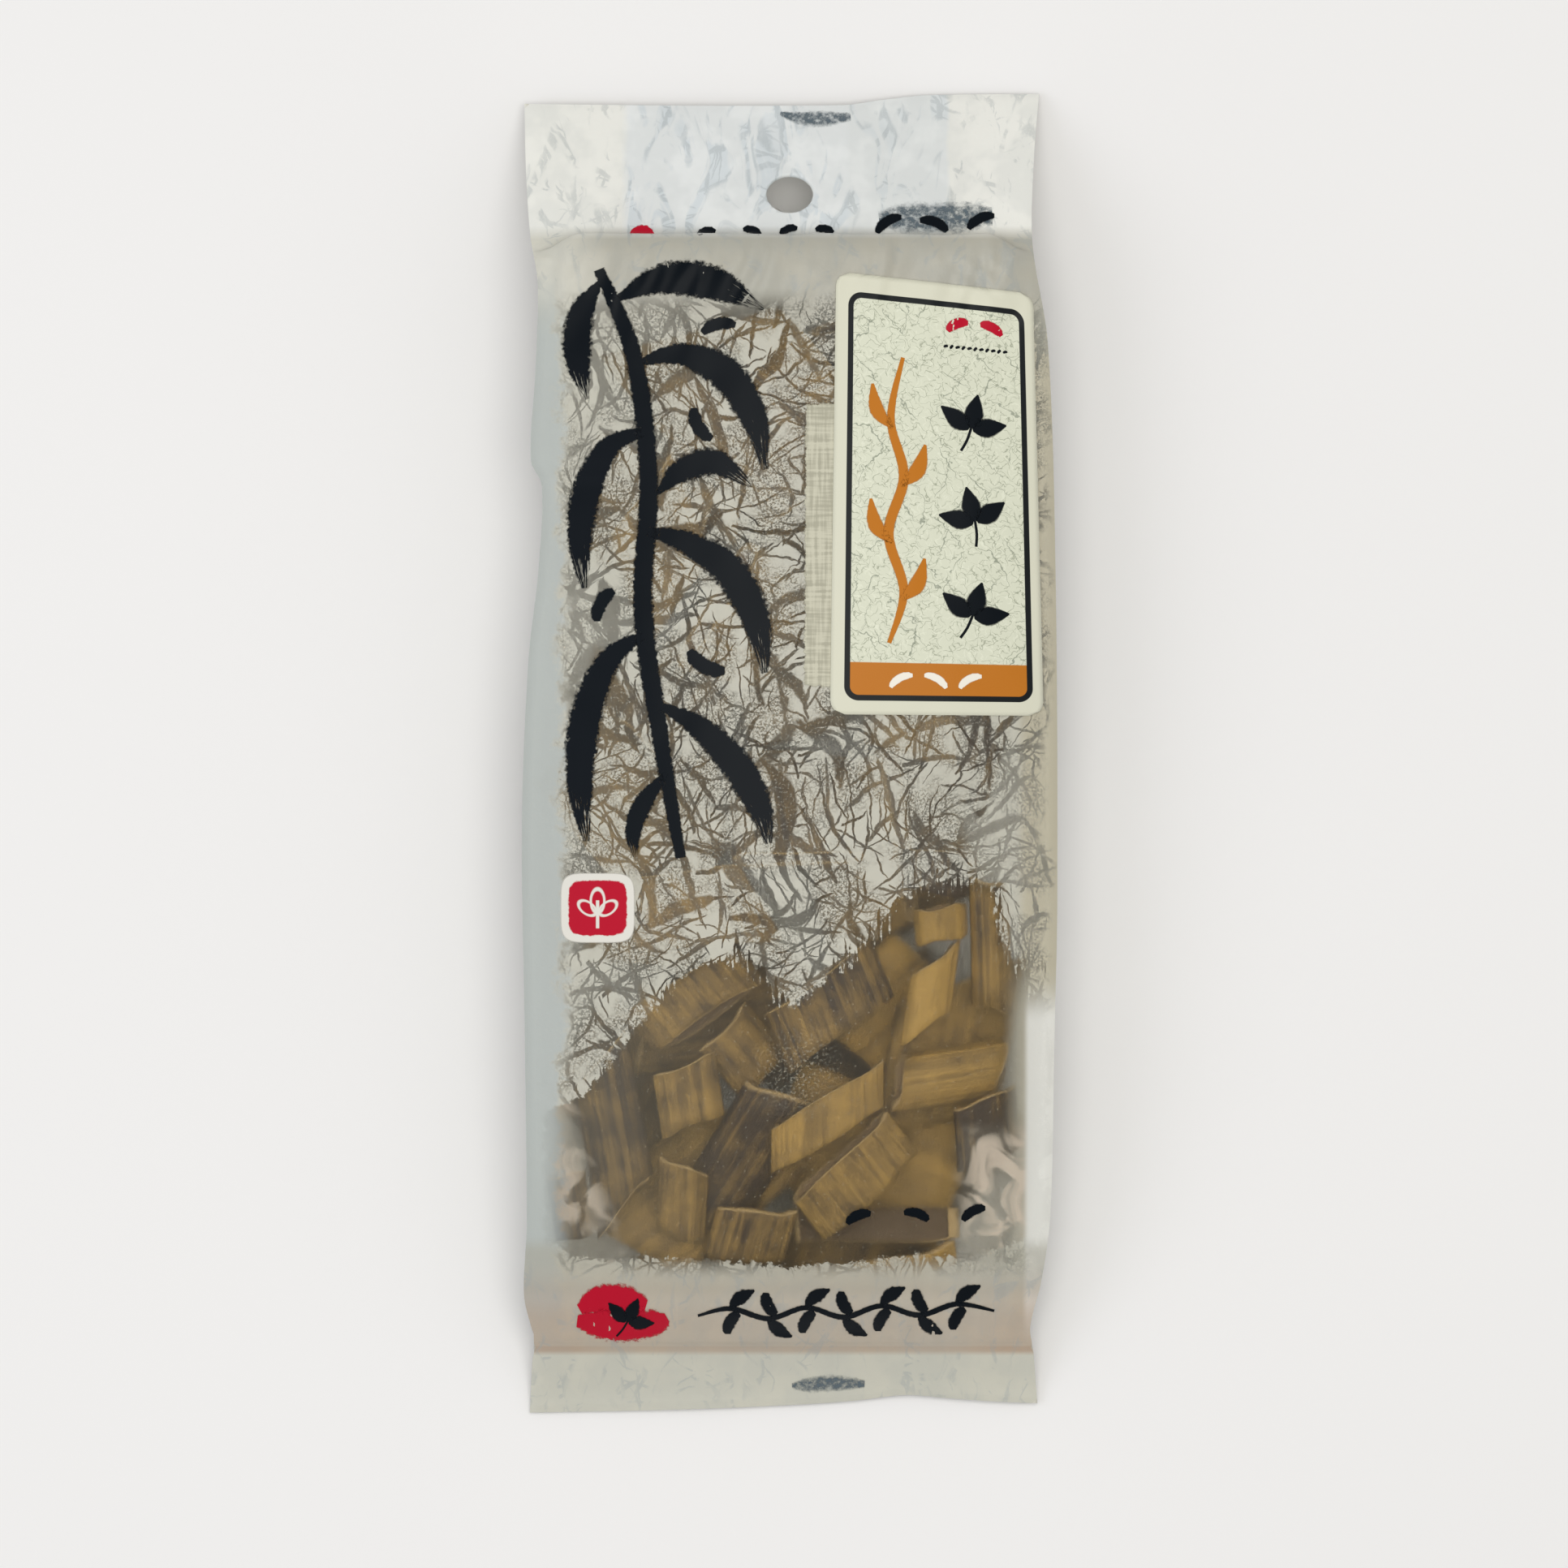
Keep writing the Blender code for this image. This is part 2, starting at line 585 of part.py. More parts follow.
def main():
    clear_scene()
    parts = collection("bean_slice_packet")
    cutters = collection("cutters")
    pouch, cavity = film_pouch(parts, cutters)
    label_sticker(parts, pouch)
    heap = Heap(cavity)
    paints = {
        "loop": material("dried_pod_loop", (0.30, 0.19, 0.07), 0.7),
        "valve": material("dried_pod_valve", (0.40, 0.27, 0.11), 0.7),
    }
    front_slices(parts, heap, paints)
    fill_slices(parts, heap, paints)


main()
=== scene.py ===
"""Packet of dried sword bean slices: a printed film pouch, its paper label, the loose slices and the studio.

X runs across the packet, Y from the bottom seal to the header, Z up from the surface it lies on.
Lengths in the tables are millimetres.
"""

import math
import random

import bmesh
import bpy
from bpy.props import FloatProperty, FloatVectorProperty, IntProperty, PointerProperty
from mathutils import Euler, Matrix, Vector, noise
from mathutils.bvhtree import BVHTree


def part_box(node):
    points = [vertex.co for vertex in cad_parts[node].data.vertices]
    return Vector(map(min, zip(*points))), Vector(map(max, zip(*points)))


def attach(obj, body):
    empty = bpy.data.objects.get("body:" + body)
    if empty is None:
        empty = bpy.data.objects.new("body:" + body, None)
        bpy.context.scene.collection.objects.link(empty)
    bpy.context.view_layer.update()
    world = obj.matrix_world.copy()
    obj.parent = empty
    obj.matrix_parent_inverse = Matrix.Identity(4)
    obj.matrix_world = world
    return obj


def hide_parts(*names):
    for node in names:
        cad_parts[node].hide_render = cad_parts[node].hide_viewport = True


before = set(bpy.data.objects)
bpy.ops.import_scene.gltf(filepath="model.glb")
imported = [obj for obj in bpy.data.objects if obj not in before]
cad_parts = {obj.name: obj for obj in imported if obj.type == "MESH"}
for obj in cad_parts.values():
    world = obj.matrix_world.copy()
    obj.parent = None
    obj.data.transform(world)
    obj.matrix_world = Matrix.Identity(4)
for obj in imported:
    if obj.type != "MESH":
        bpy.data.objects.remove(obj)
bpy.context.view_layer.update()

bl_info = {
    "name": "Bean slice packet",
    "version": (1, 0, 0),
    "blender": (4, 5, 0),
    "location": "View3D > Sidebar > Packet",
    "description": "Builds a film packet of dried sword bean slices around its solid model",
    "category": "Object",
}

MM = 0.001

# Film pouch.
BOTTOM_SEAL_Y = -126.0
BOTTOM_SEAL_Z = 7.4
TOP_SEAL_Y = 106.0
TOP_SEAL_Z = 23.6
TIP_Z = 0.5
HEADER_TIP_Y = 141.0
FLAP_END_Y = -127.5
BELLY_START_Y = -123.5
BELLY_END_Y = 105.0
HEADER_START_Y = 106.8
PLATE_HALF = 0.4
PLATE_EDGE = 1.2
CREASE_RADIUS = 0.8
CREASE_SHARE = 0.15
FRONT_MARGIN = 3.2
CROWN_POWER = 2.4
CROWN_SHARE = 0.93
NOSE_OUT = 5.5
NOSE_UNDER = 7.5
NOSE_DROP = 0.9
NOSE_RISE = 1.2
NOSE_SWAY = 0.5
EDGE_ROUNDNESS = 0.55
SEAM_HALF_WIDTH = 5.4
SEAM_WAVER = 0.12
# The lapped seam lies under the back film, a little more at its sides, and stays over the floor.
SEAM_UNDER = 0.3
SEAM_TURN = 0.1
SEAM_LEAST_Z = 0.05
HALF_WIDTH = 56.0
BACK_HALF_WIDTH = 55.5
HALF_LENGTH = 141.0
# Where along the flap and the header their cut ends' widths are read.
PLATE_READ_Y = 140.0
# Reach of the back crease, in crease radii, and the places of a gusset's fold and of its back crease.
CREASE_REACH = 1.5
FOLD_SHARE = 0.5
BACK_CREASE_SHARE = 0.92
# Hang hole: centre x and y and radius, the band of film drawn to its rim, and the rim's wall.
HANG_HOLE = (0.0, 119.0, 5.0)
HANG_HOLE_BAND = 3.0
HANG_HOLE_DROP = (0, -0.45, -0.68)
HEADER_SLOPE = (TOP_SEAL_Z - TIP_Z) / (HEADER_TIP_Y - TOP_SEAL_Y)

# (y, x) of the outline, (x, y) of the two cut edges, and (y, z) of the heights.
LEFT_EDGE = ((-141, -55.5), (-129, -54.8), (-125.5, -54.0), (-122, -55.0), (-115, -56.5), (-100, -55.8),
             (-60, -56.1), (-15, -56.7), (20, -55.3), (39, -53.2), (57, -52.5), (62, -54.8), (82, -53.8),
             (100, -53.4), (110, -55.0), (125, -56.1), (141, -56.6))
RIGHT_EDGE = ((-141, 52.9), (-127, 51.9), (-122, 51.2), (-112, 53.5), (-98, 55.3), (-60, 56.1),
              (-30, 56.7), (40, 56.3), (87, 54.7), (108, 51.5), (125, 51.9), (141, 53.3))
TOP_CUT = ((-57, 138.7), (-20, 138.3), (11, 138.4), (20, 139.6), (29, 140.6), (54, 140.9))
BOTTOM_CUT = ((-56, -140.6), (-23, -139.9), (1, -138.9), (14, -138.0), (24.6, -136.8), (34, -137.5),
              (44, -138.2), (54, -138.6))
CROWN = ((-125, 9.5), (-118, 17), (-105, 27), (-85, 34.5), (-60, 37.3), (-20, 38), (30, 37.2), (70, 35.4),
         (94, 32.2), (106, 29.6), (111, 28))
FRONT_CREASE = ((-125, 8.6), (-118, 12.5), (-105, 18.5), (-85, 23.5), (-60, 26), (0, 26.5), (60, 26),
                (95, 25.6), (111, 25.2))
BACK_PANEL = ((-125, 6.2), (-118, 2.4), (-110, 0.3), (-104, 0), (66, 0), (78, 1.2), (90, 8), (100, 17),
              (105, 22))
GUSSET = ((-125, 3), (-121, 6), (-112, 11), (-95, 8), (-60, 5), (40, 5), (80, 8), (94, 11), (102, 8),
          (107, 2.5))

# Slow and quick waves of the stiff header and flap, and height and reach of the film's gathers under the
# top seal, at its right corner and over the foot.
RIPPLES = (0.9, 0.22)
TOP_GATHERS = (1.15, 26.0)
CORNER_PLEATS = (1.1, 24.0)
PLEATED_CORNER = (50, 103)
FOOT_TUCKS = (0.8, 20.0)
# The back film's least height over the solid's, how far its dents rise past that, and the gussets' waves.
BACK_LIFT = 0.35
BACK_DENT = 0.6
GUSSET_WAVE = 0.5

# Rows of mesh in each zone of the film, columns of a gusset, and columns and rows of the back seam.
FLAP_ROWS = 12
FOOT_ROWS = 4
SHOULDER_ROWS = 11
HEADER_ROWS = 32
GUSSET_COLUMNS = 14
SEAM_MESH = (10, 200)

# Clear window in the print, as a ragged outline going round.
WINDOW = ((-52, -76), (-43.5, -72.4), (-40.8, -68.5), (-36.6, -63.9), (-31, -56.5), (-24.6, -48.4),
          (-20.5, -45.5), (-16, -44.0), (-9.1, -43.2), (-5.2, -47), (-1.4, -51.8), (0.4, -53.5), (5, -50.5),
          (9.8, -44.9), (13.4, -42.6), (16.5, -38), (19.2, -36.4), (21.6, -31.4), (25.6, -29.6),
          (30.4, -26.9), (36, -27.6), (41.6, -27.7), (43.8, -33.5), (45.9, -43.2), (50.4, -45.6), (53, -56),
          (53, -101), (46, -104.5), (38, -106.4), (26, -106.2), (14, -107.8), (2, -108.6), (-10, -107.8),
          (-22, -106.8), (-30, -106.2), (-38, -107.6), (-46, -106.5), (-52, -103))
WINDOW_REACH = 9.0

# Slices seen through the window, as their solids were laid: name, kind, centre x and y, turn in degrees,
# width across the pod, length along it, slant of the cuts, and the roll and tip against the film.
FRONT_SLICES = (
    ("valve_square", "valve", -21.4, -72.2, 8, 12.2, 13, 14, 0, -2.5),
    ("valve_bright", "valve", 29.8, -50.6, -8, 8.5, 14.5, 43, 0, 0),
    ("valve_ridged_long", "valve", -37.7, -80.8, 9, 12.4, 31, 42, 0, -10),
    ("valve_point_middle", "valve", 8.4, -76.7, 0, 21, 10, 31, 0, -2.5),
    ("valve_low_tan", "valve", -22.9, -94.5, -4, 9, 16, -20, 0, 0),
    ("loop_high_right", "loop", 31.6, -36.0, 4, 10.5, 7, 6, 0, 5),
    ("valve_right_edge", "valve", 42.4, -40.5, 2, 7.5, 27, -14, 0, -10),
    ("loop_upper_left", "loop", -20.0, -52.0, 40, 27, 10, -6, -8, 0),
    ("loop_long", "loop", 33.5, -67.6, -82, 11, 22, -20, 0, 0),
    ("loop_folded_rim", "loop", 13.6, -89.4, 37, 27, 11, 8, -1, -5),
    ("valve_brown_middle", "valve", -10.0, -85.5, -30, 14, 34, 10, 5, 0),
    ("valve_crescent", "valve", 19.0, -99.4, 7, 32, 7, 4, 150, -9),
    ("loop_upper_middle", "loop", 8.0, -53.6, 22, 26, 13, 14, 0, 0),
    ("valve_olive", "valve", -9.4, -63.0, 42, 13, 14, 4, 12.5, 7.5),
    ("valve_low_gold", "valve", 24.5, -108.1, 8, 20, 5.5, 4, 3, -4),
    ("valve_foot", "valve", -8.2, -102.0, -14, 15, 13, 8, 2.5, 0),
    ("valve_right_low", "valve", 42.0, -79.5, 6, 13, 14, 12, 0, 0),
    ("valve_dark_top", "valve", 30.6, -25.1, 0, 13, 9, -8, 0, -2.5),
    ("valve_low_left", "valve", -47.0, -96.0, 5, 8, 14, 10, 0, -20),
    ("loop_high_left", "loop", -24.0, -33.2, 30, 32, 18, -24, 0, 0),
)

# The rest of the heap: ranges of width, length and slant, and of the places that were tried for each.
HEAP_SLICES = 38
HEAP_TRIES = 420
PLACES_TRIED = 7
SLICE_SEED = 21
LOOP_SHARE = 0.62
LOOP_WIDTH = (27, 37)
LOOP_LENGTH = (15, 24)
VALVE_WIDTH = (16, 24)
VALVE_LENGTH = (24, 46)
SLANT_LIMIT = 35
HEAP_X = 38
HEAP_Y = (-108, 92)
# Above 1, more of the slices lie towards the foot.
HEAP_SLIDE = 1.45
# Greatest lean of a slice in the heap about X and about Y, in radians.
HEAP_LEAN = (0.5, 0.35)
# How far a slice drawn here may lie from its solid.
SOLID_MATCH = 0.05

# Shape of a slice. The points, the blade and the cut's wave are those of its solid.
LOOP_POINTS = 14
VALVE_POINTS = 8
VALVE_BLADE = 1.12
POD_THICKNESS = 9.5
LOOP_THICKNESS = (0.85, 1.15)
VALVE_THICKNESS = (0.7, 1.0)
VALVE_START = (0.02, 0.2)
VALVE_STEPS = 0.6
POD_TAPER = 0.18
CURL_HEIGHT = 0.9
TWIST = 0.12
SOLID_CUT_WAVE = 0.5
POD_WALL = 1.6
POD_BLUNTNESS = 0.8
SUTURE_RIDGE = 0.9
SUTURE_RIDGE_ANGLE = 0.45
VALVE_FAR_ANGLE = math.pi - 0.35
CURL_SPAN = 15.0
CUT_WAVE = 0.35
SKIN_DENT = 0.28
# The dents fade over this many radians beside the place where a loop's mesh meets itself.
SEAM_CALM = 0.6
# Corners this near each other become one, in metres.
MERGE_DISTANCE = 0.00002
# Rows of mesh round a slice's wall: over the skin, across a cut, over the lining and across the other cut.
SKIN_ROWS = 6
CUT_ROWS = 2
WALL_ROWS = 2 * (SKIN_ROWS + CUT_ROWS)
# Step along the UV map from one slice to the next, so that each has its own veins.
SLICE_UV_STEP = 100.0
# The heap's slices below these places make the low group and the middle group, and the rest the high one.
LOW_SLICES_Y = -60
MIDDLE_SLICES_Y = 20

# Shade of a slice from 0, dark brown, to 1, bright tan: mostly the pod's own tone, but the low values of
# valve_crescent, whose hollow lining faces up, and valve_right_low, deep in the heap, are painted shade. The
# others take theirs by turns.
SHADES = {"valve_bright": 0.98, "valve_square": 0.5, "valve_ridged_long": 0.14, "valve_crescent": 0.12,
          "valve_right_edge": 0.4, "loop_upper_left": 0.38, "loop_upper_middle": 0.24, "loop_long": 0.66,
          "valve_olive": 0.36, "valve_point_middle": 0.66, "loop_folded_rim": 0.5, "valve_low_tan": 0.46,
          "valve_brown_middle": 0.06, "valve_low_left": 0.1, "valve_right_low": 0.0, "valve_low_gold": 0.95,
          "valve_foot": 0.3, "valve_dark_top": 0.0, "loop_high_right": 0.85, "loop_high_left": 0.35}
OTHER_SHADES = (0.45, 0.2, 0.7, 0.3, 0.55, 0.1, 0.5)

# Ink-brush spray of bean pods and leaves. Each stroke is a path of (x, y, half width).
STEM = ((-23, -22, 1.6), (-27.4, 4, 2.6), (-31, 31, 2.9), (-29.8, 58, 2.8), (-33, 84, 2.6),
        (-40.4, 102.5, 1.6))
PODS = (
    ((-27, 10, 1.2), (-19, 5.5, 3.4), (-11.6, -2, 4.7), (-6.5, -11, 3.9), (-4.4, -19, 1.0)),
    ((-31, 25, 1.2), (-38, 20, 3.4), (-43, 8.5, 4.7), (-44.4, -6, 4.0), (-43, -18.5, 1.0)),
    ((-30, 47, 1.2), (-21.6, 44.5, 3.5), (-12.6, 38.4, 5.0), (-7, 28, 4.2), (-5.2, 17, 1.0)),
    ((-31, 68, 1.2), (-38, 65, 3.2), (-42.8, 56, 4.4), (-44.4, 45, 3.6), (-43.5, 35, 1.0)),
    ((-31, 83, 1.2), (-22.6, 84.4, 3.4), (-13.4, 80, 5.0), (-7.6, 71, 4.1), (-5.2, 60, 1.0)),
)
LEAVES = (
    ((-40, 100, 0.7), (-44.2, 93, 3.8), (-44.9, 84, 4.0), (-42.8, 75, 0.6)),
    ((-37, 96, 0.7), (-27, 100.4, 4.4), (-16, 99.4, 5.0), (-5.5, 94, 0.6)),
    ((-28, 55, 0.6), (-22.4, 60, 3.6), (-15.5, 61.5, 3.8), (-8, 56.4, 0.6)),
    ((-26, -4, 0.6), (-30.6, -10, 2.8), (-33, -16, 2.6), (-32.6, -22, 0.6)),
)
# Loose beans between the pods: (x, y, length, half width, turn in degrees).
BEANS = ((-17.6, 19.4, 8.6, 2.3, 150), (-39.2, 31.4, 7.4, 2.1, 62), (-15.0, 90.0, 7.2, 1.8, 14),
         (-18.6, 69.6, 7.6, 2.0, 120))
# Tendril along the foot, beans over the window and along the header: (x, y, length, half width, turn).
FOOT_VINE = ((-19.5, -119.4, 0.4), (-12.5, -117.8, 0.8), (-4.5, -120.0, 0.85), (3.5, -117.6, 0.8),
             (11.5, -119.7, 0.85), (19.5, -117.2, 0.8), (27.5, -119.3, 0.85), (35.5, -116.9, 0.8),
             (43.5, -118.4, 0.4))
WINDOW_BEANS = ((14.6, -98.2, 5.4, 1.5, 24), (26.8, -97.8, 5.4, 1.5, -18), (39.0, -97.4, 5.4, 1.5, 30))
HEADER_BEANS = ((-17.6, 110.6, 3.8, 1.2, 12), (-8.0, 110.8, 3.8, 1.2, -16), (-0.2, 111.0, 3.8, 1.2, 20),
                (7.4, 111.0, 3.8, 1.2, -8), (21.0, 112.4, 6.2, 1.5, 34), (30.6, 112.2, 6.2, 1.5, -22),
                (40.6, 113.0, 6.2, 1.5, 28))
HEADER_WASH = ((19.0, 113.2, 2.6), (24, 113.8, 4.4), (31, 113.6, 4.6), (37, 114.0, 4.6), (43.0, 114.2, 2.6))
TOP_SMUDGE = ((-2.0, 136.6, 0.6), (2.0, 135.6, 2.0), (7, 135.4, 2.4), (13, 135.8, 1.2))
FLAP_SMUDGE = ((0.5, -134.8, 0.8), (4, -134.6, 2.2), (10, -134.2, 2.4), (16, -134.4, 1.2))
RED_DOT = ((-33.7, 110.2, 0.4), (-32.7, 111.0, 1.1), (-31.3, 111.2, 1.4), (-29.9, 111.0, 1.1),
           (-28.9, 110.2, 0.4))
# Stamped seal: centre and size. Red blots are strokes, and their sprig is x, y, size and turn.
SEAL_CENTRE = (-40.6, -32.6)
SEAL_SIZE = (16.4, 15.4)
RED_BLOTS = (((-44.6, -118.2, 1.6), (-40.5, -116.0, 4.2), (-34.5, -116.4, 4.6), (-30.6, -117.6, 2.4)),
             ((-45.2, -120.6, 1.8), (-40.5, -121.2, 4.2), (-34, -121.8, 4.4), (-28, -120.6, 3.6),
              (-26.2, -119.6, 1.2)))
BLOT_LEAF = (-34.6, -121.0, 8.6, 66)
# Corners of the printed cloth strip: lower left, upper left, upper right, lower right.
BACKING_STRIP = ((2.6, 13.4), (2.9, 74.6), (12.0, 75.0), (11.6, 13.2))

# Label: corners, and its print in millimetres up from its lower left corner.
LABEL_CORNERS = ((8.5, 8.3), (53.7, 8.0), (51.5, 97.4), (9.8, 102.0))
LABEL_SIZE = (43.6, 91.6)
LABEL_CORNER = 3.0
# Frame on the label: its two sides across, its two ends up, and its corner's radius.
LABEL_FRAME = ((3.0, 41.3), (3.1, 87.6))
LABEL_FRAME_CORNER = 2.8
# Three-part bean leaves: x and y of the fork, size, turn. Beans: x, y, length, half width, turn.
LABEL_LEAVES = ((29.4, 60.8, 11.6, 78), (30.2, 41.0, 11.6, 104), (29.2, 20.8, 11.6, 74))
LABEL_RED = ((26.8, 82.8, 5.0, 1.5, 26), (34.2, 82.8, 5.0, 1.5, -22))
LABEL_SEEDS = tuple((24.2 + 1.3 * i, 78.2, 1.0, 0.42, 50 if i % 2 else 20) for i in range(11))
BAND_BEANS = ((14.5, 7.2, 5.2, 1.1, 30), (21.6, 7.2, 5.2, 1.1, -30), (28.7, 7.2, 5.2, 1.1, 30))
LABEL_VINE = ((12.0, 15.0, 0.6), (15.0, 26, 1.3), (11.8, 38, 1.5), (15.0, 50, 1.5), (12.2, 62, 1.2),
              (14.8, 75, 0.6))
LABEL_VINE_LEAVES = (((14.2, 24, 0.4), (17.8, 27.4, 2.3), (19.4, 33.0, 0.4)),
                     ((12.6, 36, 0.4), (9.0, 39.6, 2.2), (8.0, 45, 0.4)),
                     ((14.4, 48, 0.4), (18.0, 51.6, 2.3), (19.6, 57.0, 0.4)),
                     ((12.6, 60, 0.4), (9.2, 63.6, 2.2), (8.2, 69, 0.4)))

# Printed fibres in layers: direction in degrees, length, spacing and greatest half width. The label's also
# have their colour and how strongly it covers.
STRANDS = ((12, 30, 9.0, 0.8), (50, 26, 8.5, 0.66), (83, 30, 9.0, 0.86), (118, 26, 8.5, 0.66),
           (155, 24, 8.5, 0.6), (30, 15, 5.0, 0.34), (75, 14, 4.6, 0.3), (105, 15, 5.0, 0.34),
           (140, 14, 4.8, 0.3), (66, 26, 24.0, 1.9), (150, 24, 26.0, 1.7))
HAIRS = ((5, 6.5, 1.5, 0.14), (42, 6.0, 1.4, 0.13), (80, 6.5, 1.5, 0.14), (125, 6.0, 1.4, 0.13),
         (160, 6.5, 1.6, 0.14))
LABEL_HAIRS = ((20, 4.0, 1.3, 0.1, "#EDEFDA", 0.6), (100, 4.0, 1.3, 0.1, "#EDEFDA", 0.6),
               (0, 3.2, 1.5, 0.07, "#9BA08A", 0.75), (55, 3.4, 1.5, 0.07, "#9BA08A", 0.75),
               (130, 3.4, 1.6, 0.07, "#9BA08A", 0.75), (35, 11.0, 6.0, 0.13, "#848B7A", 0.75),
               (115, 12.0, 7.0, 0.13, "#848B7A", 0.75))

# Mesh squares of a brush stroke, and the height from which a print looks for the film.
STROKE_PITCH = 0.9
RAY_START = 200.0
# Step along the UV map from one stroke to the next, so that each has its own streaks.
STROKE_UV_STEP = 50.0
# Height of each print over what it lies on. A print that covers another lies higher.
CLOTH_LIFT = 0.08
SPRAY_LIFT = 0.10
WASH_LIFT = 0.12
MARK_LIFT = 0.16
SPRIG_LIFT = 0.24
LABEL_INK_LIFT = 0.03

# Studio, in metres: lamps with their place, their width, their share of the key light and their colour.
LAMPS = (("soft_overhead", (0.1, 0.12, 1.5), 1.2, 1.0, "#FFFDF8"),
         ("cool_left", (-0.9, -0.1, 0.9), 0.8, 0.2, "#EEF3FF"))
FLOOR_HALF = 3.0
FLOOR_DROP = 0.0003
# Place over which the camera stands, with the height of the packet's front, in millimetres.
CAMERA_OVER = (-1.2, -6.4, 26.0)
SENSOR_WIDTH = 36.0


def linear(colour):
    """Linear colour of an sRGB hex value."""
    parts = [int(colour[i:i + 2], 16) / 255 for i in (1, 3, 5)]
    return tuple(c / 12.92 if c <= 0.04045 else ((c + 0.055) / 1.055) ** 2.4 for c in parts)


def hue(name, words, default):
    """Colour property whose default is an sRGB hex value."""
    return FloatVectorProperty(name=name, description=words, subtype="COLOR", size=3, min=0, max=1,
                               default=linear(default))


class FilmSettings(bpy.types.PropertyGroup):
    """Sizes and colours of the film pouch."""

    pitch: FloatProperty(name="Grid pitch", description="Size of the film's mesh squares in millimetres",
                         default=1.1, min=0.8, max=4.0)
    crumple: FloatProperty(name="Crumple", description="Height of the film's soft dents in millimetres",
                           default=0.45, min=0.0, max=1.0)
    ink: hue("White ink", "Printed white of the body", "#D9D7C8")
    cream: hue("Cream", "Folded layers at the sides of the header", "#FFFFF8")
    cool: hue("Cool white", "Two layers of film with little ink", "#FAFDFC")
    milky: hue("Milky film", "Film of the gussets", "#C9CFCB")
    seal: hue("Heat seal", "Film pressed in the bottom seal", "#B99A7E")
    haze: hue("Haze", "Matte finish of the clear film", "#CDC8B4")


class PrintSettings(bpy.types.PropertyGroup):
    """Colours of the inks."""

    black: hue("Black ink", "Brush print", "#020A12")
    red: hue("Red ink", "Seal and blot", "#BE0E2C")
    grey: hue("Grey wash", "Soft smudges", "#5F6C74")
    orange: hue("Orange ink", "Label's vine and band", "#C3761A")


class LabelSettings(bpy.types.PropertyGroup):
    """Sizes and colours of the label."""

    thickness: FloatProperty(name="Thickness", description="Label stock", default=0.00018, unit="LENGTH")
    lift: FloatProperty(name="Lift", description="Gap over the film", default=0.00015, unit="LENGTH")
    border: hue("Border", "Unprinted edge of the label", "#DEDDC9")
    paper: hue("Fibre paper", "Printed field of the label", "#DFE1CD")


class PodSettings(bpy.types.PropertyGroup):
    """Colours of the dried pod."""

    steps_around: IntProperty(name="Steps round a loop", description="Mesh squares round a loop",
                              default=44, min=12, max=96)
    dark: hue("Dark skin", "Darkest outer skin", "#403122")
    bright: hue("Bright skin", "Palest outer skin", "#BF984C")
    lining: hue("Lining", "Papery inner side", "#BC9A6C")
    cut: hue("Cut edge", "Sliced wall of the pod", "#D8BC84")


class StageSettings(bpy.types.PropertyGroup):
    """Studio floor, lights and camera."""

    floor: hue("Floor", "Pale studio floor", "#F3F2F1")
    view_width: FloatProperty(name="View width", description="Width seen at the packet's front",
                              default=0.3321, unit="LENGTH")
    distance: FloatProperty(name="Camera distance", description="From camera to the packet's front",
                            default=3.2, unit="LENGTH")
    sky: FloatProperty(name="Ambient", description="Strength of the even light", default=0.54)
    key: FloatProperty(name="Key light", description="Power of the large soft light in watts", default=10.2)


def add(tree, kind, inputs=None, **settings):
    """A shader node with its settings. Each input is a plain value, a node, or a node and its output."""
    made = tree.nodes.new("ShaderNode" + kind)
    for key, value in settings.items():
        setattr(made, key, value)
    for key, value in (inputs or {}).items():
        if isinstance(value, bpy.types.Node):
            value = (value, 0)
        if isinstance(value, tuple) and isinstance(value[0], bpy.types.Node):
            tree.links.new(value[0].outputs[value[1]], made.inputs[key])
        elif made.inputs[key].type == "RGBA":
            made.inputs[key].default_value = (*value, 1.0)
        else:
            made.inputs[key].default_value = value
    return made


def new_material(name):
    made = bpy.data.materials.new(name)
    made.use_nodes = True
    made.node_tree.nodes.clear()
    return made, made.node_tree


def close_material(tree, shader):
    add(tree, "OutputMaterial", {"Surface": shader})


def millimetres(tree):
    """The piece's own coordinates in millimetres."""
    place = add(tree, "TexCoord")
    return add(tree, "VectorMath", {0: (place, "Object"), 1: (1000.0, 1000.0, 1000.0)}, operation="MULTIPLY")


def between(tree, value, low, high, soft):
    """1 where a value lies between low and high, with soft ends."""
    rise = add(tree, "MapRange", {"Value": value, "From Min": low - soft, "From Max": low + soft},
               interpolation_type="SMOOTHSTEP")
    fall = add(tree, "MapRange", {"Value": value, "From Min": high - soft, "From Max": high + soft,
                                  "To Min": 1.0, "To Max": 0.0}, interpolation_type="SMOOTHSTEP")
    return add(tree, "Math", {0: rise, 1: fall}, operation="MULTIPLY")


def shaken(tree, place, scale, detail, reach):
    """How far noise moves a place, up to half of reach each way."""
    shift = add(tree, "TexNoise", {"Vector": place, "Scale": scale, "Detail": detail},
                noise_dimensions="2D")
    shift = add(tree, "VectorMath", {0: (shift, "Color"), 1: (0.5, 0.5, 0.5)}, operation="SUBTRACT")
    return add(tree, "VectorMath", {0: shift, 1: (reach, reach, 0.0)}, operation="MULTIPLY")


def most(tree, values):
    """The greatest of several values."""
    top = values[0]
    for value in values[1:]:
        top = add(tree, "Math", {0: top, 1: value}, operation="MAXIMUM")
    return top


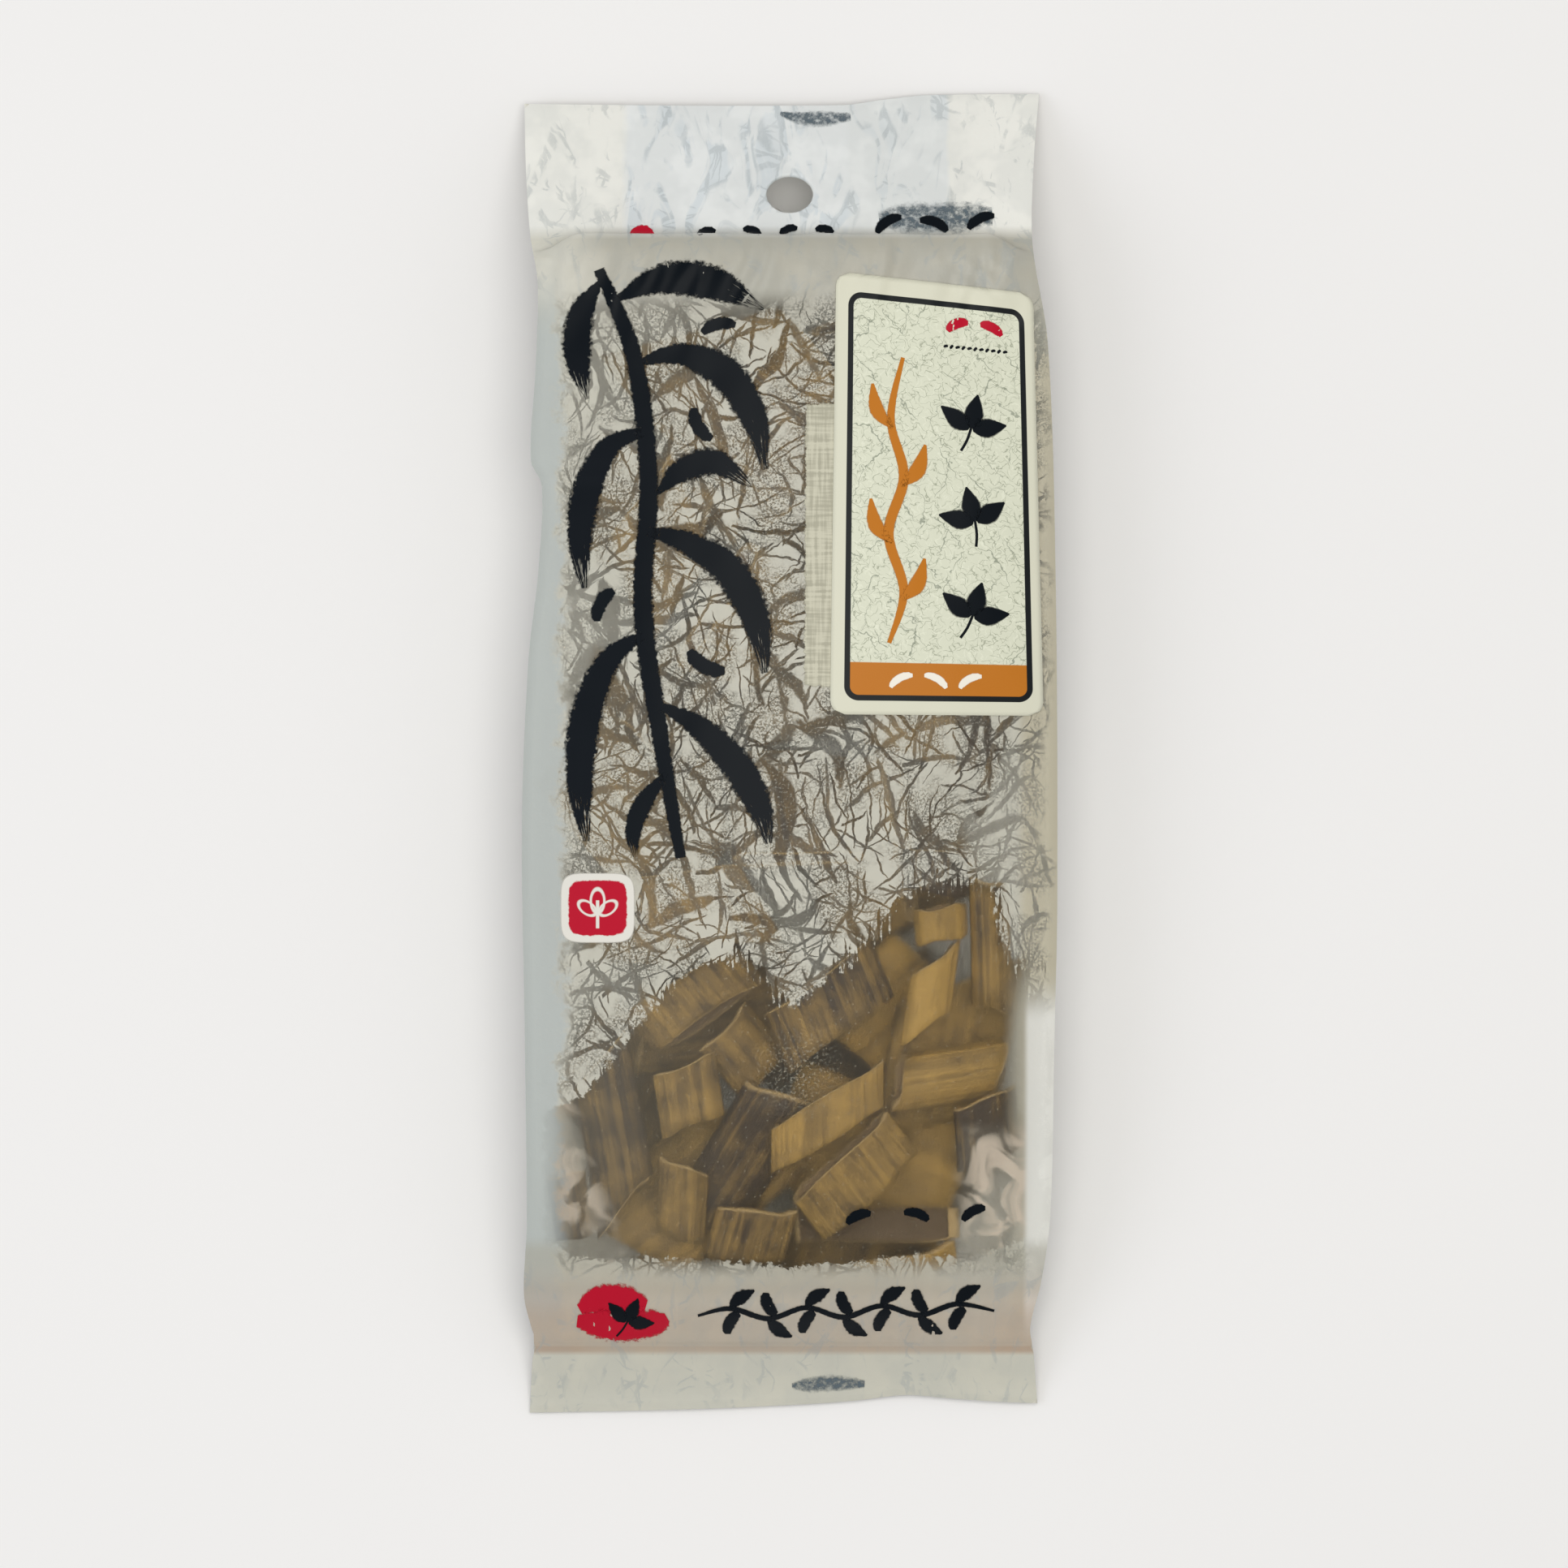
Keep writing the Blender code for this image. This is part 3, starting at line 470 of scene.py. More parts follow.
def strand_layer(tree, place, angle, length, pitch, width, seed):
    """Tapered, gently bent strands that lie roughly along one direction, one in each stretched cell."""
    turned = add(tree, "VectorRotate", {"Vector": place, "Angle": math.radians(angle)},
                 rotation_type="Z_AXIS")
    moved = add(tree, "VectorMath", {0: turned, 1: (seed * 37.3, seed * 91.7, 0.0)}, operation="ADD")
    cell = add(tree, "VectorMath", {0: moved, 1: (1.0 / length, 1.0 / pitch, 1.0)}, operation="MULTIPLY")
    spot = add(tree, "TexVoronoi", {"Vector": cell, "Scale": 1.0}, voronoi_dimensions="2D")
    away = add(tree, "VectorMath", {0: cell, 1: (spot, "Position")}, operation="SUBTRACT")
    local = add(tree, "VectorMath", {0: away, 1: (length, pitch, 0.0)}, operation="MULTIPLY")
    axes = add(tree, "SeparateXYZ", {0: local})
    dice = add(tree, "SeparateXYZ", {0: (spot, "Color")})
    lean = add(tree, "MapRange", {"Value": (dice, 0), "To Min": -0.4, "To Max": 0.4})
    bow = add(tree, "MapRange", {"Value": (dice, 1), "To Min": -0.9 / length, "To Max": 0.9 / length})
    lean = add(tree, "Math", {0: (axes, 0), 1: bow, 2: lean}, operation="MULTIPLY_ADD")
    leaned = add(tree, "Math", {0: (axes, 0), 1: lean, 2: (axes, 1)}, operation="MULTIPLY_ADD")
    reach = add(tree, "MapRange", {"Value": (dice, 1), "To Min": 0.2 * length, "To Max": 0.5 * length})
    along = add(tree, "Math", {0: (axes, 0), 1: reach}, operation="DIVIDE")
    taper = add(tree, "Math", {0: along, 1: along}, operation="MULTIPLY")
    taper = add(tree, "Math", {0: 1.0, 1: taper}, operation="SUBTRACT", use_clamp=True)
    half = add(tree, "MapRange", {"Value": (dice, 2), "To Min": 0.25 * width, "To Max": width})
    half = add(tree, "Math", {0: half, 1: taper}, operation="MULTIPLY")
    side = add(tree, "Math", {0: leaned}, operation="ABSOLUTE")
    over = add(tree, "Math", {0: side, 1: half}, operation="SUBTRACT")
    mask = add(tree, "MapRange", {"Value": over, "From Min": 0.0, "From Max": 0.3 * width + 0.03,
                                  "To Min": 1.0, "To Max": 0.0})
    ended = add(tree, "Math", {0: taper, 1: 6.0}, operation="MULTIPLY", use_clamp=True)
    mask = add(tree, "Math", {0: mask, 1: ended}, operation="MULTIPLY")
    strength = add(tree, "MapRange", {"Value": (dice, 0), "To Min": 0.88, "To Max": 1.0})
    return add(tree, "Math", {0: mask, 1: strength}, operation="MULTIPLY")


def mulberry_fibres():
    """Pattern group: fibres of mulberry paper. Strands are up to 1.7 mm wide and 30 mm long, a few broader;
    hairs are up to 0.3 mm wide. Real hairs are finer, and are drawn as coarse as they need to show."""
    name = "mulberry_fibres"
    if name in bpy.data.node_groups:
        return bpy.data.node_groups[name]
    tree = bpy.data.node_groups.new(name, "ShaderNodeTree")
    tree.interface.new_socket("Place", in_out="INPUT", socket_type="NodeSocketVector")
    for output in ("Strands", "Hairs", "Cloud"):
        tree.interface.new_socket(output, in_out="OUTPUT", socket_type="NodeSocketFloat")
    start = tree.nodes.new("NodeGroupInput")
    bend = shaken(tree, (start, 0), 0.035, 1.0, 15.0)
    place = add(tree, "VectorMath", {0: (start, 0), 1: bend}, operation="ADD")
    kink = shaken(tree, (start, 0), 0.32, 2.0, 1.3)
    place = add(tree, "VectorMath", {0: place, 1: kink}, operation="ADD")
    strands = most(tree, [strand_layer(tree, place, *layer, seed) for seed, layer in enumerate(STRANDS, 1)])
    hairs = most(tree, [strand_layer(tree, place, *layer, seed) for seed, layer in enumerate(HAIRS, 21)])
    cloud = add(tree, "TexNoise", {"Vector": (start, 0), "Scale": 0.085, "Detail": 3.0, "Roughness": 0.6},
                noise_dimensions="2D")
    cloud = add(tree, "MapRange", {"Value": cloud, "From Min": 0.34, "From Max": 0.6},
                interpolation_type="SMOOTHSTEP")
    # Specks lie between the hairs, and break up the strands a little.
    grain = add(tree, "TexNoise", {"Vector": (start, 0), "Scale": 1.9, "Detail": 4.0, "Roughness": 0.75},
                noise_dimensions="2D")
    dotted = add(tree, "MapRange", {"Value": grain, "From Min": 0.42, "From Max": 0.5, "To Min": 0.35,
                                    "To Max": 1.0})
    hairs = add(tree, "Math", {0: hairs, 1: dotted}, operation="MULTIPLY")
    speck = add(tree, "MapRange", {"Value": grain, "From Min": 0.51, "From Max": 0.55, "To Max": 1.0})
    hairs = add(tree, "Math", {0: hairs, 1: speck}, operation="MAXIMUM")
    hairs = add(tree, "Math", {0: hairs, 1: cloud}, operation="MULTIPLY")
    worn = add(tree, "MapRange", {"Value": grain, "From Min": 0.34, "From Max": 0.44, "To Min": 0.55,
                                  "To Max": 1.0})
    strands = add(tree, "Math", {0: strands, 1: worn}, operation="MULTIPLY")
    end = tree.nodes.new("NodeGroupOutput")
    for index, value in enumerate((strands, hairs, cloud)):
        tree.links.new(value.outputs[0], end.inputs[index])
    return tree


def film_shader(tree, ink, colour, relief, thin=0.22):
    """Matte polypropylene film, about 0.1 mm thick: clear film scatters what lies far behind it and shows
    sharply what touches it, and its print is white ink under the outer layer. ink is how much print covers
    each point, and thin is how much of the light goes through the printed film."""
    still = add(tree, "BsdfTransparent", {"Color": (0.97, 0.97, 0.95)})
    soft = add(tree, "BsdfGlass", {"Color": (0.99, 0.99, 0.98), "Roughness": 0.42, "IOR": 1.2,
                                   "Normal": relief}, distribution="MULTI_GGX")
    clear = add(tree, "MixShader", {0: 0.78, 1: still, 2: soft})
    front = add(tree, "BsdfPrincipled", {"Base Color": colour, "Roughness": 0.42, "IOR": 1.49,
                                         "Normal": relief})
    through = add(tree, "BsdfTranslucent", {"Color": colour})
    printed = add(tree, "MixShader", {0: thin, 1: front, 2: through})
    cover = add(tree, "MapRange", {"Value": ink, "To Min": 0.05, "To Max": 0.93})
    return add(tree, "MixShader", {0: cover, 1: clear, 2: printed})


def film_relief(tree, place):
    """Fine crackle of stiff film, about 3 mm across, over a slight orange peel."""
    crackle = add(tree, "TexNoise", {"Vector": place, "Scale": 0.35, "Detail": 4.0, "Roughness": 0.55})
    return add(tree, "Bump", {"Height": crackle, "Strength": 0.22, "Distance": 0.0006})


def window_opening(tree, place, axes):
    """1 where the film is clear and 0 where it is printed. The brush left spikes along the window's upper
    edge and a fluffy line along the rest."""
    window = add(tree, "Attribute", attribute_name="window")
    bristle = add(tree, "VectorMath", {0: place, 1: (1.25, 0.14, 1.0)}, operation="MULTIPLY")
    bristle = add(tree, "TexNoise", {"Vector": bristle, "Scale": 1.0, "Detail": 2.0}, noise_dimensions="2D")
    bristle = add(tree, "Math", {0: bristle, 1: 0.5}, operation="SUBTRACT")
    reach = add(tree, "MapRange", {"Value": (axes, 1), "From Min": -62.0, "From Max": -44.0, "To Min": 0.8,
                                   "To Max": 13.0})
    bristle = add(tree, "Math", {0: bristle, 1: reach}, operation="MULTIPLY")
    calm = add(tree, "TexNoise", {"Vector": place, "Scale": 0.07, "Detail": 1.0}, noise_dimensions="2D")
    calm = add(tree, "MapRange", {"Value": calm, "From Min": 0.4, "From Max": 0.6, "To Min": 0.25,
                                  "To Max": 1.3})
    bristle = add(tree, "Math", {0: bristle, 1: calm}, operation="MULTIPLY")
    fluff = add(tree, "TexNoise", {"Vector": place, "Scale": 0.55, "Detail": 5.0, "Roughness": 0.75})
    fluff = add(tree, "MapRange", {"Value": fluff, "To Min": -3.4, "To Max": 3.4})
    edge = add(tree, "Math", {0: (window, "Fac"), 1: bristle}, operation="ADD")
    edge = add(tree, "Math", {0: edge, 1: fluff}, operation="ADD")
    return add(tree, "MapRange", {"Value": edge, "From Min": -0.14, "From Max": 0.14})


def fibre_print(tree, place, axes, fibres, opened):
    """How much white ink covers the film, with the wavering place across it and the body's extent along it.
    Fibres show in the body's print and fade out towards the shoulder, the sides and the foot."""
    stray = add(tree, "TexNoise", {"Vector": place, "Scale": 0.12, "Detail": 4.0, "Roughness": 0.7})
    stray = add(tree, "MapRange", {"Value": stray, "To Min": -7.0, "To Max": 7.0})
    stray = add(tree, "Math", {0: (axes, 0), 1: stray}, operation="ADD")
    width = between(tree, stray, -47.4, 54.0, 2.2)
    length = between(tree, (axes, 1), -109.0, 96.0, 3.0)
    body = add(tree, "Math", {0: width, 1: length}, operation="MULTIPLY")
    strands = add(tree, "Math", {0: (fibres, "Strands"), 1: body}, operation="MULTIPLY")
    hairs = add(tree, "Math", {0: (fibres, "Hairs"), 1: body}, operation="MULTIPLY")
    hairs = add(tree, "Math", {0: hairs, 1: 0.85}, operation="MULTIPLY")
    gaps = add(tree, "Math", {0: strands, 1: hairs}, operation="MAXIMUM")
    inked = add(tree, "Math", {0: 1.0, 1: gaps}, operation="SUBTRACT")
    closed = add(tree, "Math", {0: 1.0, 1: opened}, operation="SUBTRACT")
    ink = add(tree, "Math", {0: inked, 1: closed}, operation="MULTIPLY")
    return ink, stray, length


def window_haze_and_glow(tree, place, axes):
    """How milky the clear film is, and where nothing lies behind it, which gets painted light."""
    # The window turns milky at the sides, where the film bends away over the gussets, and holds some dust.
    left = add(tree, "MapRange", {"Value": (axes, 0), "From Min": -43.0, "From Max": -52.5},
               interpolation_type="SMOOTHSTEP")
    right = add(tree, "MapRange", {"Value": (axes, 0), "From Min": 44.5, "From Max": 51.5},
                interpolation_type="SMOOTHSTEP")
    haze_and_glow = add(tree, "Math", {0: left, 1: right}, operation="ADD")
    low = add(tree, "MapRange", {"Value": (axes, 1), "From Min": -40.0, "From Max": -58.0},
              interpolation_type="SMOOTHSTEP")
    haze_and_glow = add(tree, "Math", {0: haze_and_glow, 1: low}, operation="MULTIPLY")
    # Its two lower corners are empty of slices; the lit back film behind them is painted on the front film
    # as pale, slightly pink painted light.
    corner = add(tree, "MapRange", {"Value": (axes, 0), "From Min": 33.0, "From Max": 41.0, "To Max": 0.72},
                 interpolation_type="SMOOTHSTEP")
    bright = between(tree, (axes, 1), -120.0, -80.0, 3.0)
    corner = add(tree, "Math", {0: corner, 1: bright}, operation="MULTIPLY")
    slope = add(tree, "Math", {0: (axes, 1), 1: 0.34, 2: (axes, 0)}, operation="MULTIPLY_ADD")
    slope = add(tree, "MapRange", {"Value": slope, "From Min": -68.0, "From Max": -74.0, "To Max": 0.6},
                interpolation_type="SMOOTHSTEP")
    empty = add(tree, "Math", {0: corner, 1: slope}, operation="MAXIMUM")
    mottle = add(tree, "TexNoise", {"Vector": place, "Scale": 0.13, "Detail": 2.0, "Distortion": 0.8},
                 noise_dimensions="2D")
    mottle = add(tree, "MapRange", {"Value": mottle, "From Min": 0.4, "From Max": 0.62, "To Min": 0.25,
                                    "To Max": 1.1}, interpolation_type="SMOOTHSTEP")
    empty = add(tree, "Math", {0: empty, 1: mottle}, operation="MULTIPLY")
    haze_and_glow = add(tree, "Math", {0: haze_and_glow, 1: 0.88}, operation="MULTIPLY")
    # The empty corners' painted light whitens the film here, over its real milkiness.
    haze_and_glow = add(tree, "Math", {0: haze_and_glow, 1: empty}, operation="MAXIMUM")
    dust = add(tree, "TexVoronoi", {"Vector": place, "Scale": 0.3, "Randomness": 1.0},
               voronoi_dimensions="2D")
    dust = add(tree, "MapRange", {"Value": dust, "From Min": 0.03, "From Max": 0.06, "To Min": 0.3,
                                  "To Max": 0.0})
    haze_and_glow = add(tree, "Math", {0: haze_and_glow, 1: dust}, operation="MAXIMUM")
    # The film is hazier to the left, and scuffed in one spot.
    haze = add(tree, "MapRange", {"Value": (axes, 0), "From Min": -10.0, "From Max": -46.0, "To Max": 0.12})
    haze_and_glow = add(tree, "Math", {0: haze_and_glow, 1: haze}, operation="MAXIMUM")
    spot = add(tree, "VectorMath", {0: place, 1: (1.5, -67.0, 0.0)}, operation="SUBTRACT")
    spot = add(tree, "VectorMath", {0: spot, 1: (1.0, 1.0, 0.0)}, operation="MULTIPLY")
    spot = add(tree, "VectorMath", {0: spot}, operation="LENGTH")
    spot = add(tree, "MapRange", {"Value": (spot, 1), "From Min": 3.0, "From Max": 11.0, "To Min": 0.5,
                                  "To Max": 0.0})
    scuff = add(tree, "TexNoise", {"Vector": place, "Scale": 1.6, "Detail": 4.0, "Roughness": 0.7},
                noise_dimensions="2D")
    scuff = add(tree, "MapRange", {"Value": scuff, "From Min": 0.54, "From Max": 0.66})
    scuff = add(tree, "Math", {0: scuff, 1: spot}, operation="MULTIPLY")
    haze_and_glow = add(tree, "Math", {0: haze_and_glow, 1: scuff}, operation="MAXIMUM")
    return haze_and_glow, empty


def front_tints(tree, film, place, axes, stray, opened, empty):
    """Colour of the front film: a darker warm grey at the shoulder as painted shade, pale pink painted light
    in the window's empty corners, cream where the gusset's layers lie behind the header and cool between,
    and the smear of its header."""
    tint = add(tree, "Mix", {0: opened, 6: film.ink, 7: film.haze}, data_type="RGBA")
    # Pale pink painted light where the window's corners are empty.
    painted_glow = add(tree, "Math", {0: empty, 1: opened}, operation="MULTIPLY")
    tint = add(tree, "Mix", {0: painted_glow, 6: (tint, 2), 7: linear("#F2E0CA")}, data_type="RGBA")
    # The shoulder's darker beige-grey is painted shade where the film turns over under the header.
    shoulder = add(tree, "MapRange", {"Value": (axes, 1), "From Min": 86.0, "From Max": 100.0},
                   interpolation_type="SMOOTHSTEP")
    aside = add(tree, "MapRange", {"Value": (axes, 0), "From Min": -38.0, "From Max": -48.0})
    painted_shoulder_shade = add(tree, "Mix", {0: aside, 6: linear("#C1BEB0"), 7: linear("#DDDBCE")}, data_type="RGBA")
    tint = add(tree, "Mix", {0: shoulder, 6: (tint, 2), 7: (painted_shoulder_shade, 2)}, data_type="RGBA")
    header = add(tree, "MapRange", {"Value": (axes, 1), "From Min": 109.0, "From Max": 112.0})
    uneven = add(tree, "Math", {0: 0.85, 1: (axes, 0)}, operation="MULTIPLY")
    uneven = add(tree, "Math", {0: stray, 1: 0.15, 2: uneven}, operation="MULTIPLY_ADD")
    folded = add(tree, "Math", {0: between(tree, uneven, -60.0, -35.0, 1.1),
                                1: between(tree, uneven, 33.6, 60.0, 0.7)}, operation="MAXIMUM")
    smear = add(tree, "VectorMath", {0: place, 1: (1.0, 0.45, 1.0)}, operation="MULTIPLY")
    smear = add(tree, "TexNoise", {"Vector": smear, "Scale": 0.15, "Detail": 3.0, "Distortion": 1.4},
                noise_dimensions="2D")
    smear = add(tree, "MapRange", {"Value": smear, "From Min": 0.48, "From Max": 0.66},
                interpolation_type="SMOOTHSTEP")
    cool = add(tree, "Mix", {0: smear, 6: film.cool, 7: linear("#EAF1F4")}, data_type="RGBA")
    grey = add(tree, "Math", {0: between(tree, (axes, 0), 12.5, 33.8, 0.8), 1: 0.4}, operation="MULTIPLY")
    cool = add(tree, "Mix", {0: grey, 6: (cool, 2), 7: linear("#F2F5F2")}, data_type="RGBA")
    top = add(tree, "Mix", {0: folded, 6: (cool, 2), 7: film.cream}, data_type="RGBA")
    tint = add(tree, "Mix", {0: header, 6: (tint, 2), 7: (top, 2)}, data_type="RGBA")
    return tint, smear


def banded(tree, film, axes, stray, tint):
    """The film's colour with the bands along its sides and across its foot."""
    # Bands at the sides: where across the film, where along it, their strength and their colour.
    for across, bounds, up, share, colour in (
            (stray, (-70.0, -48.4, 1.6), (-120.0, 96.0, 8.0), 1.0, film.milky),
            ((axes, 0), (50.0, 60.0, 0.8), (-122.0, -52.0, 5.0), 1.0, film.cream),
            ((axes, 0), (49.0, 60.0, 1.5), (-50.0, 88.0, 6.0), 0.7, linear("#CFC6AA"))):
        band = add(tree, "Math", {0: between(tree, across, *bounds), 1: between(tree, (axes, 1), *up)},
                   operation="MULTIPLY")
        band = add(tree, "Math", {0: band, 1: share}, operation="MULTIPLY")
        tint = add(tree, "Mix", {0: band, 6: (tint, 2), 7: colour}, data_type="RGBA")
    strip = add(tree, "Math", {0: between(tree, (axes, 1), -115.0, -104.0, 2.0), 1: 0.55},
                operation="MULTIPLY")
    tint = add(tree, "Mix", {0: strip, 6: (tint, 2), 7: linear("#B9B5A4")}, data_type="RGBA")
    return tint


def tan_towards_seal(tree, film, axes, tint):
    """The film's colour turning tan towards the bottom seal, most at both ends, with a tan line along the
    seal.
    """
    warmth = add(tree, "MapRange", {"Value": (axes, 1), "From Min": -106.0, "From Max": -121.0,
                                    "To Max": 0.6}, interpolation_type="SMOOTHSTEP")
    cold = between(tree, (axes, 0), -44.0, 42.0, 9.0)
    cold = add(tree, "MapRange", {"Value": cold, "To Min": 1.0, "To Max": 0.75})
    warmth = add(tree, "Math", {0: warmth, 1: cold}, operation="MULTIPLY")
    # The tan line at the seal's fold is the pressed seal's colour and partly painted shade in the fold.
    seal = add(tree, "Math", {0: between(tree, (axes, 1), -127.6, -125.8, 0.6), 1: cold},
               operation="MULTIPLY")
    seal = add(tree, "Math", {0: seal, 1: 0.8}, operation="MULTIPLY")
    above = add(tree, "MapRange", {"Value": (axes, 1), "From Min": -128.2, "From Max": -127.4})
    warmth = add(tree, "Math", {0: warmth, 1: above}, operation="MULTIPLY")
    warmth = add(tree, "Math", {0: warmth, 1: seal}, operation="MAXIMUM")
    tint = add(tree, "Mix", {0: warmth, 6: (tint, 2), 7: film.seal}, data_type="RGBA")
    return tint


def front_film_material(film):
    """Front of the pouch: white fibre print with a clear window, header and flap without fibres."""
    made, tree = new_material("printed_matte_film_front")
    place = millimetres(tree)
    axes = add(tree, "SeparateXYZ", {0: place})
    fibres = add(tree, "Group", {"Place": place}, node_tree=mulberry_fibres())
    opened = window_opening(tree, place, axes)
    ink, stray, length = fibre_print(tree, place, axes, fibres, opened)
    haze_and_glow, empty = window_haze_and_glow(tree, place, axes)
    ink = add(tree, "Math", {0: ink, 1: haze_and_glow}, operation="MAXIMUM")
    tint, smear = front_tints(tree, film, place, axes, stray, opened, empty)
    tint = banded(tree, film, axes, stray, tint)
    tint = tan_towards_seal(tree, film, axes, tint)
    # The back layer's fibres show through the header, foot and flap as pale ghosts.
    ends = add(tree, "Math", {0: 1.0, 1: length}, operation="SUBTRACT")
    ghost = add(tree, "Math", {0: (fibres, "Strands"), 1: smear}, operation="MULTIPLY")
    ghost = add(tree, "Math", {0: (fibres, "Cloud"), 1: 0.4, 2: ghost}, operation="MULTIPLY_ADD")
    ghost = add(tree, "Math", {0: ghost, 1: ends}, operation="MULTIPLY")
    ghost = add(tree, "Math", {0: ghost, 1: 0.34}, operation="MULTIPLY")
    tint = add(tree, "Mix", {0: ghost, 6: (tint, 2), 7: linear("#A3ACAE")}, data_type="RGBA")
    thin = add(tree, "MapRange", {"Value": ends, "To Min": 0.18, "To Max": 0.08})
    close_material(tree, film_shader(tree, ink, (tint, 2), film_relief(tree, place), thin))
    return made


def plain_film_material(film, name, colour, cover, fibre_share, turn, thin=0.3):
    """Back or gusset film: turn lays the pattern's plane on the piece."""
    made, tree = new_material(name)
    place = add(tree, "Mapping", {"Vector": millimetres(tree), "Rotation": turn})
    fibres = add(tree, "Group", {"Place": place}, node_tree=mulberry_fibres())
    gaps = add(tree, "Math", {0: (fibres, "Strands"), 1: (fibres, "Hairs")}, operation="MAXIMUM")
    ink = add(tree, "MapRange", {"Value": gaps, "To Min": cover, "To Max": cover * (1.0 - fibre_share)})
    mottle = add(tree, "TexNoise", {"Vector": place, "Scale": 0.08, "Detail": 3.0})
    tint = add(tree, "Mix", {0: mottle, 6: colour, 7: film.ink}, data_type="RGBA")
    close_material(tree, film_shader(tree, ink, (tint, 2), film_relief(tree, place), thin))
    return made


def curve_value(points, at):
    """Height of a smooth curve through the given points, held flat past both ends."""
    if at <= points[0][0]:
        return points[0][1]
    if at >= points[-1][0]:
        return points[-1][1]
    index = max(i for i in range(len(points) - 1) if points[i][0] <= at)
    (a, va), (b, vb) = points[index], points[index + 1]
    before = points[max(index - 1, 0)]
    after = points[min(index + 2, len(points) - 1)]
    limit = 3 * abs(vb - va) / (b - a)
    slope_a = max(-limit, min(limit, (vb - before[1]) / (b - before[0])))
    slope_b = max(-limit, min(limit, (after[1] - va) / (after[0] - a)))
    t = (at - a) / (b - a)
    rise = (2 * t ** 3 - 3 * t ** 2 + 1) * va + (3 * t ** 2 - 2 * t ** 3) * vb
    return rise + (b - a) * ((t ** 3 - 2 * t ** 2 + t) * slope_a + (t ** 3 - t ** 2) * slope_b)


def mix(a, b, t):
    return a + (b - a) * t


def smooth(t):
    t = max(0.0, min(1.0, t))
    return t * t * (3 - 2 * t)


def outline_x(share, y):
    """Place across the packet at y for a share from -1, left edge, to 1, right edge."""
    left = curve_value(LEFT_EDGE, y)
    right = curve_value(RIGHT_EDGE, y)
    return 0.5 * (left + right) + 0.5 * (right - left) * share


def crease_heights(y):
    """Heights of the back panel, the gusset's lower and upper ends and the front crease at y."""
    back = curve_value(BACK_PANEL, y)
    crease = curve_value(FRONT_CREASE, y)
    soft = min(CREASE_RADIUS, CREASE_SHARE * (crease - back))
    return back, back + CREASE_REACH * soft, crease - soft, crease, soft


def belly_height(share, y):
    """Height of the smooth front panel."""
    crown = curve_value(CROWN, y)
    _, _, high, crease, _ = crease_heights(y)
    half = 0.5 * (curve_value(RIGHT_EDGE, y) - curve_value(LEFT_EDGE, y))
    out = abs(share) * half / (half - FRONT_MARGIN)
    if out <= 1.0:
        return crease + (crown - crease) * (1.0 - CROWN_SHARE * out ** CROWN_POWER)
    side = crease + (crown - crease) * (1.0 - CROWN_SHARE)
    t = min(1.0, (abs(share) * half - half + FRONT_MARGIN) / FRONT_MARGIN)
    return high + (side - high) * (1.0 - t) ** EDGE_ROUNDNESS


def plate_height(y):
    """Height of the middle of the pressed flap or header at y."""
    if y < 0:
        t = min(1.0, (BOTTOM_SEAL_Y - y) / (BOTTOM_SEAL_Y + HALF_LENGTH))
        return BOTTOM_SEAL_Z + (TIP_Z - BOTTOM_SEAL_Z) * math.sin(max(0.0, t) * math.pi / 2)
    return TOP_SEAL_Z - HEADER_SLOPE * (y - TOP_SEAL_Y)


def plate_rise(share, y, tip):
    """Half thickness of a pressed plate, thinning to nothing at its edges."""
    half = 0.5 * (curve_value(RIGHT_EDGE, y) - curve_value(LEFT_EDGE, y))
    inset = min((1.0 - abs(share)) * half, tip)
    return PLATE_HALF * math.sqrt(max(0.0, 1.0 - max(0.0, 1.0 - inset / PLATE_EDGE) ** 2))


def ripple(x, y):
    """Slow wave of the stiff header and flap, always upwards, in millimetres."""
    wave = 0.5 + 0.5 * noise.noise(Vector((x / 26, y / 40, 5.5)))
    fine = 0.5 + 0.5 * noise.noise(Vector((x / 9, y / 11, 1.5)))
    return RIPPLES[0] * wave + RIPPLES[1] * fine


def crumple(x, y, film):
    """Height of dents and gathers of the filled front over its smooth form, in millimetres."""
    broad = film.crumple * noise.noise(Vector((x / 21, y / 26, 3.1)))
    fine = 0.4 * film.crumple * noise.noise(Vector((x / 6.5, y / 8, 8.7)))
    top = smooth(1.0 - (TOP_SEAL_Y - y) / TOP_GATHERS[1])
    fold = noise.noise(Vector(((x + 0.35 * (TOP_SEAL_Y - y)) / 5.2, y / 26, 2.2)))
    gathers = TOP_GATHERS[0] * top * (1.0 - 2.2 * abs(fold))
    corner = smooth(1.0 - math.dist((x, y), PLEATED_CORNER) / CORNER_PLEATS[1])
    pleat = noise.noise(Vector(((x + 1.4 * y) / 4.6, (x - y) / 22, 6.4)))
    gathers += CORNER_PLEATS[0] * corner * (1.0 - 2.0 * abs(pleat))
    foot = smooth(1.0 - (y + 123.0) / FOOT_TUCKS[1])
    tuck = noise.noise(Vector(((x - 0.12 * y) / 4.4, y / 22, 4.9)))
    gathers += FOOT_TUCKS[0] * foot * (1.0 - 2.2 * abs(tuck))
    return broad + fine + gathers


def edge_fade(share):
    return smooth((1.0 - abs(share)) * 9.0)


def film_stations(film):
    """Rows of the film from the flap's tip to the header's tip: a zone's name and its place in it."""
    rows = [("flap", i / FLAP_ROWS) for i in range(FLAP_ROWS + 1)]
    rows += [("foot", i / FOOT_ROWS) for i in range(1, FOOT_ROWS)]
    steps = round((BELLY_END_Y - BELLY_START_Y) / film.pitch)
    rows += [("belly", mix(BELLY_START_Y, BELLY_END_Y, i / steps)) for i in range(steps + 1)]
    rows += [("shoulder", i / SHOULDER_ROWS) for i in range(1, SHOULDER_ROWS)]
    rows += [("header", i / HEADER_ROWS) for i in range(HEADER_ROWS + 1)]
    return rows


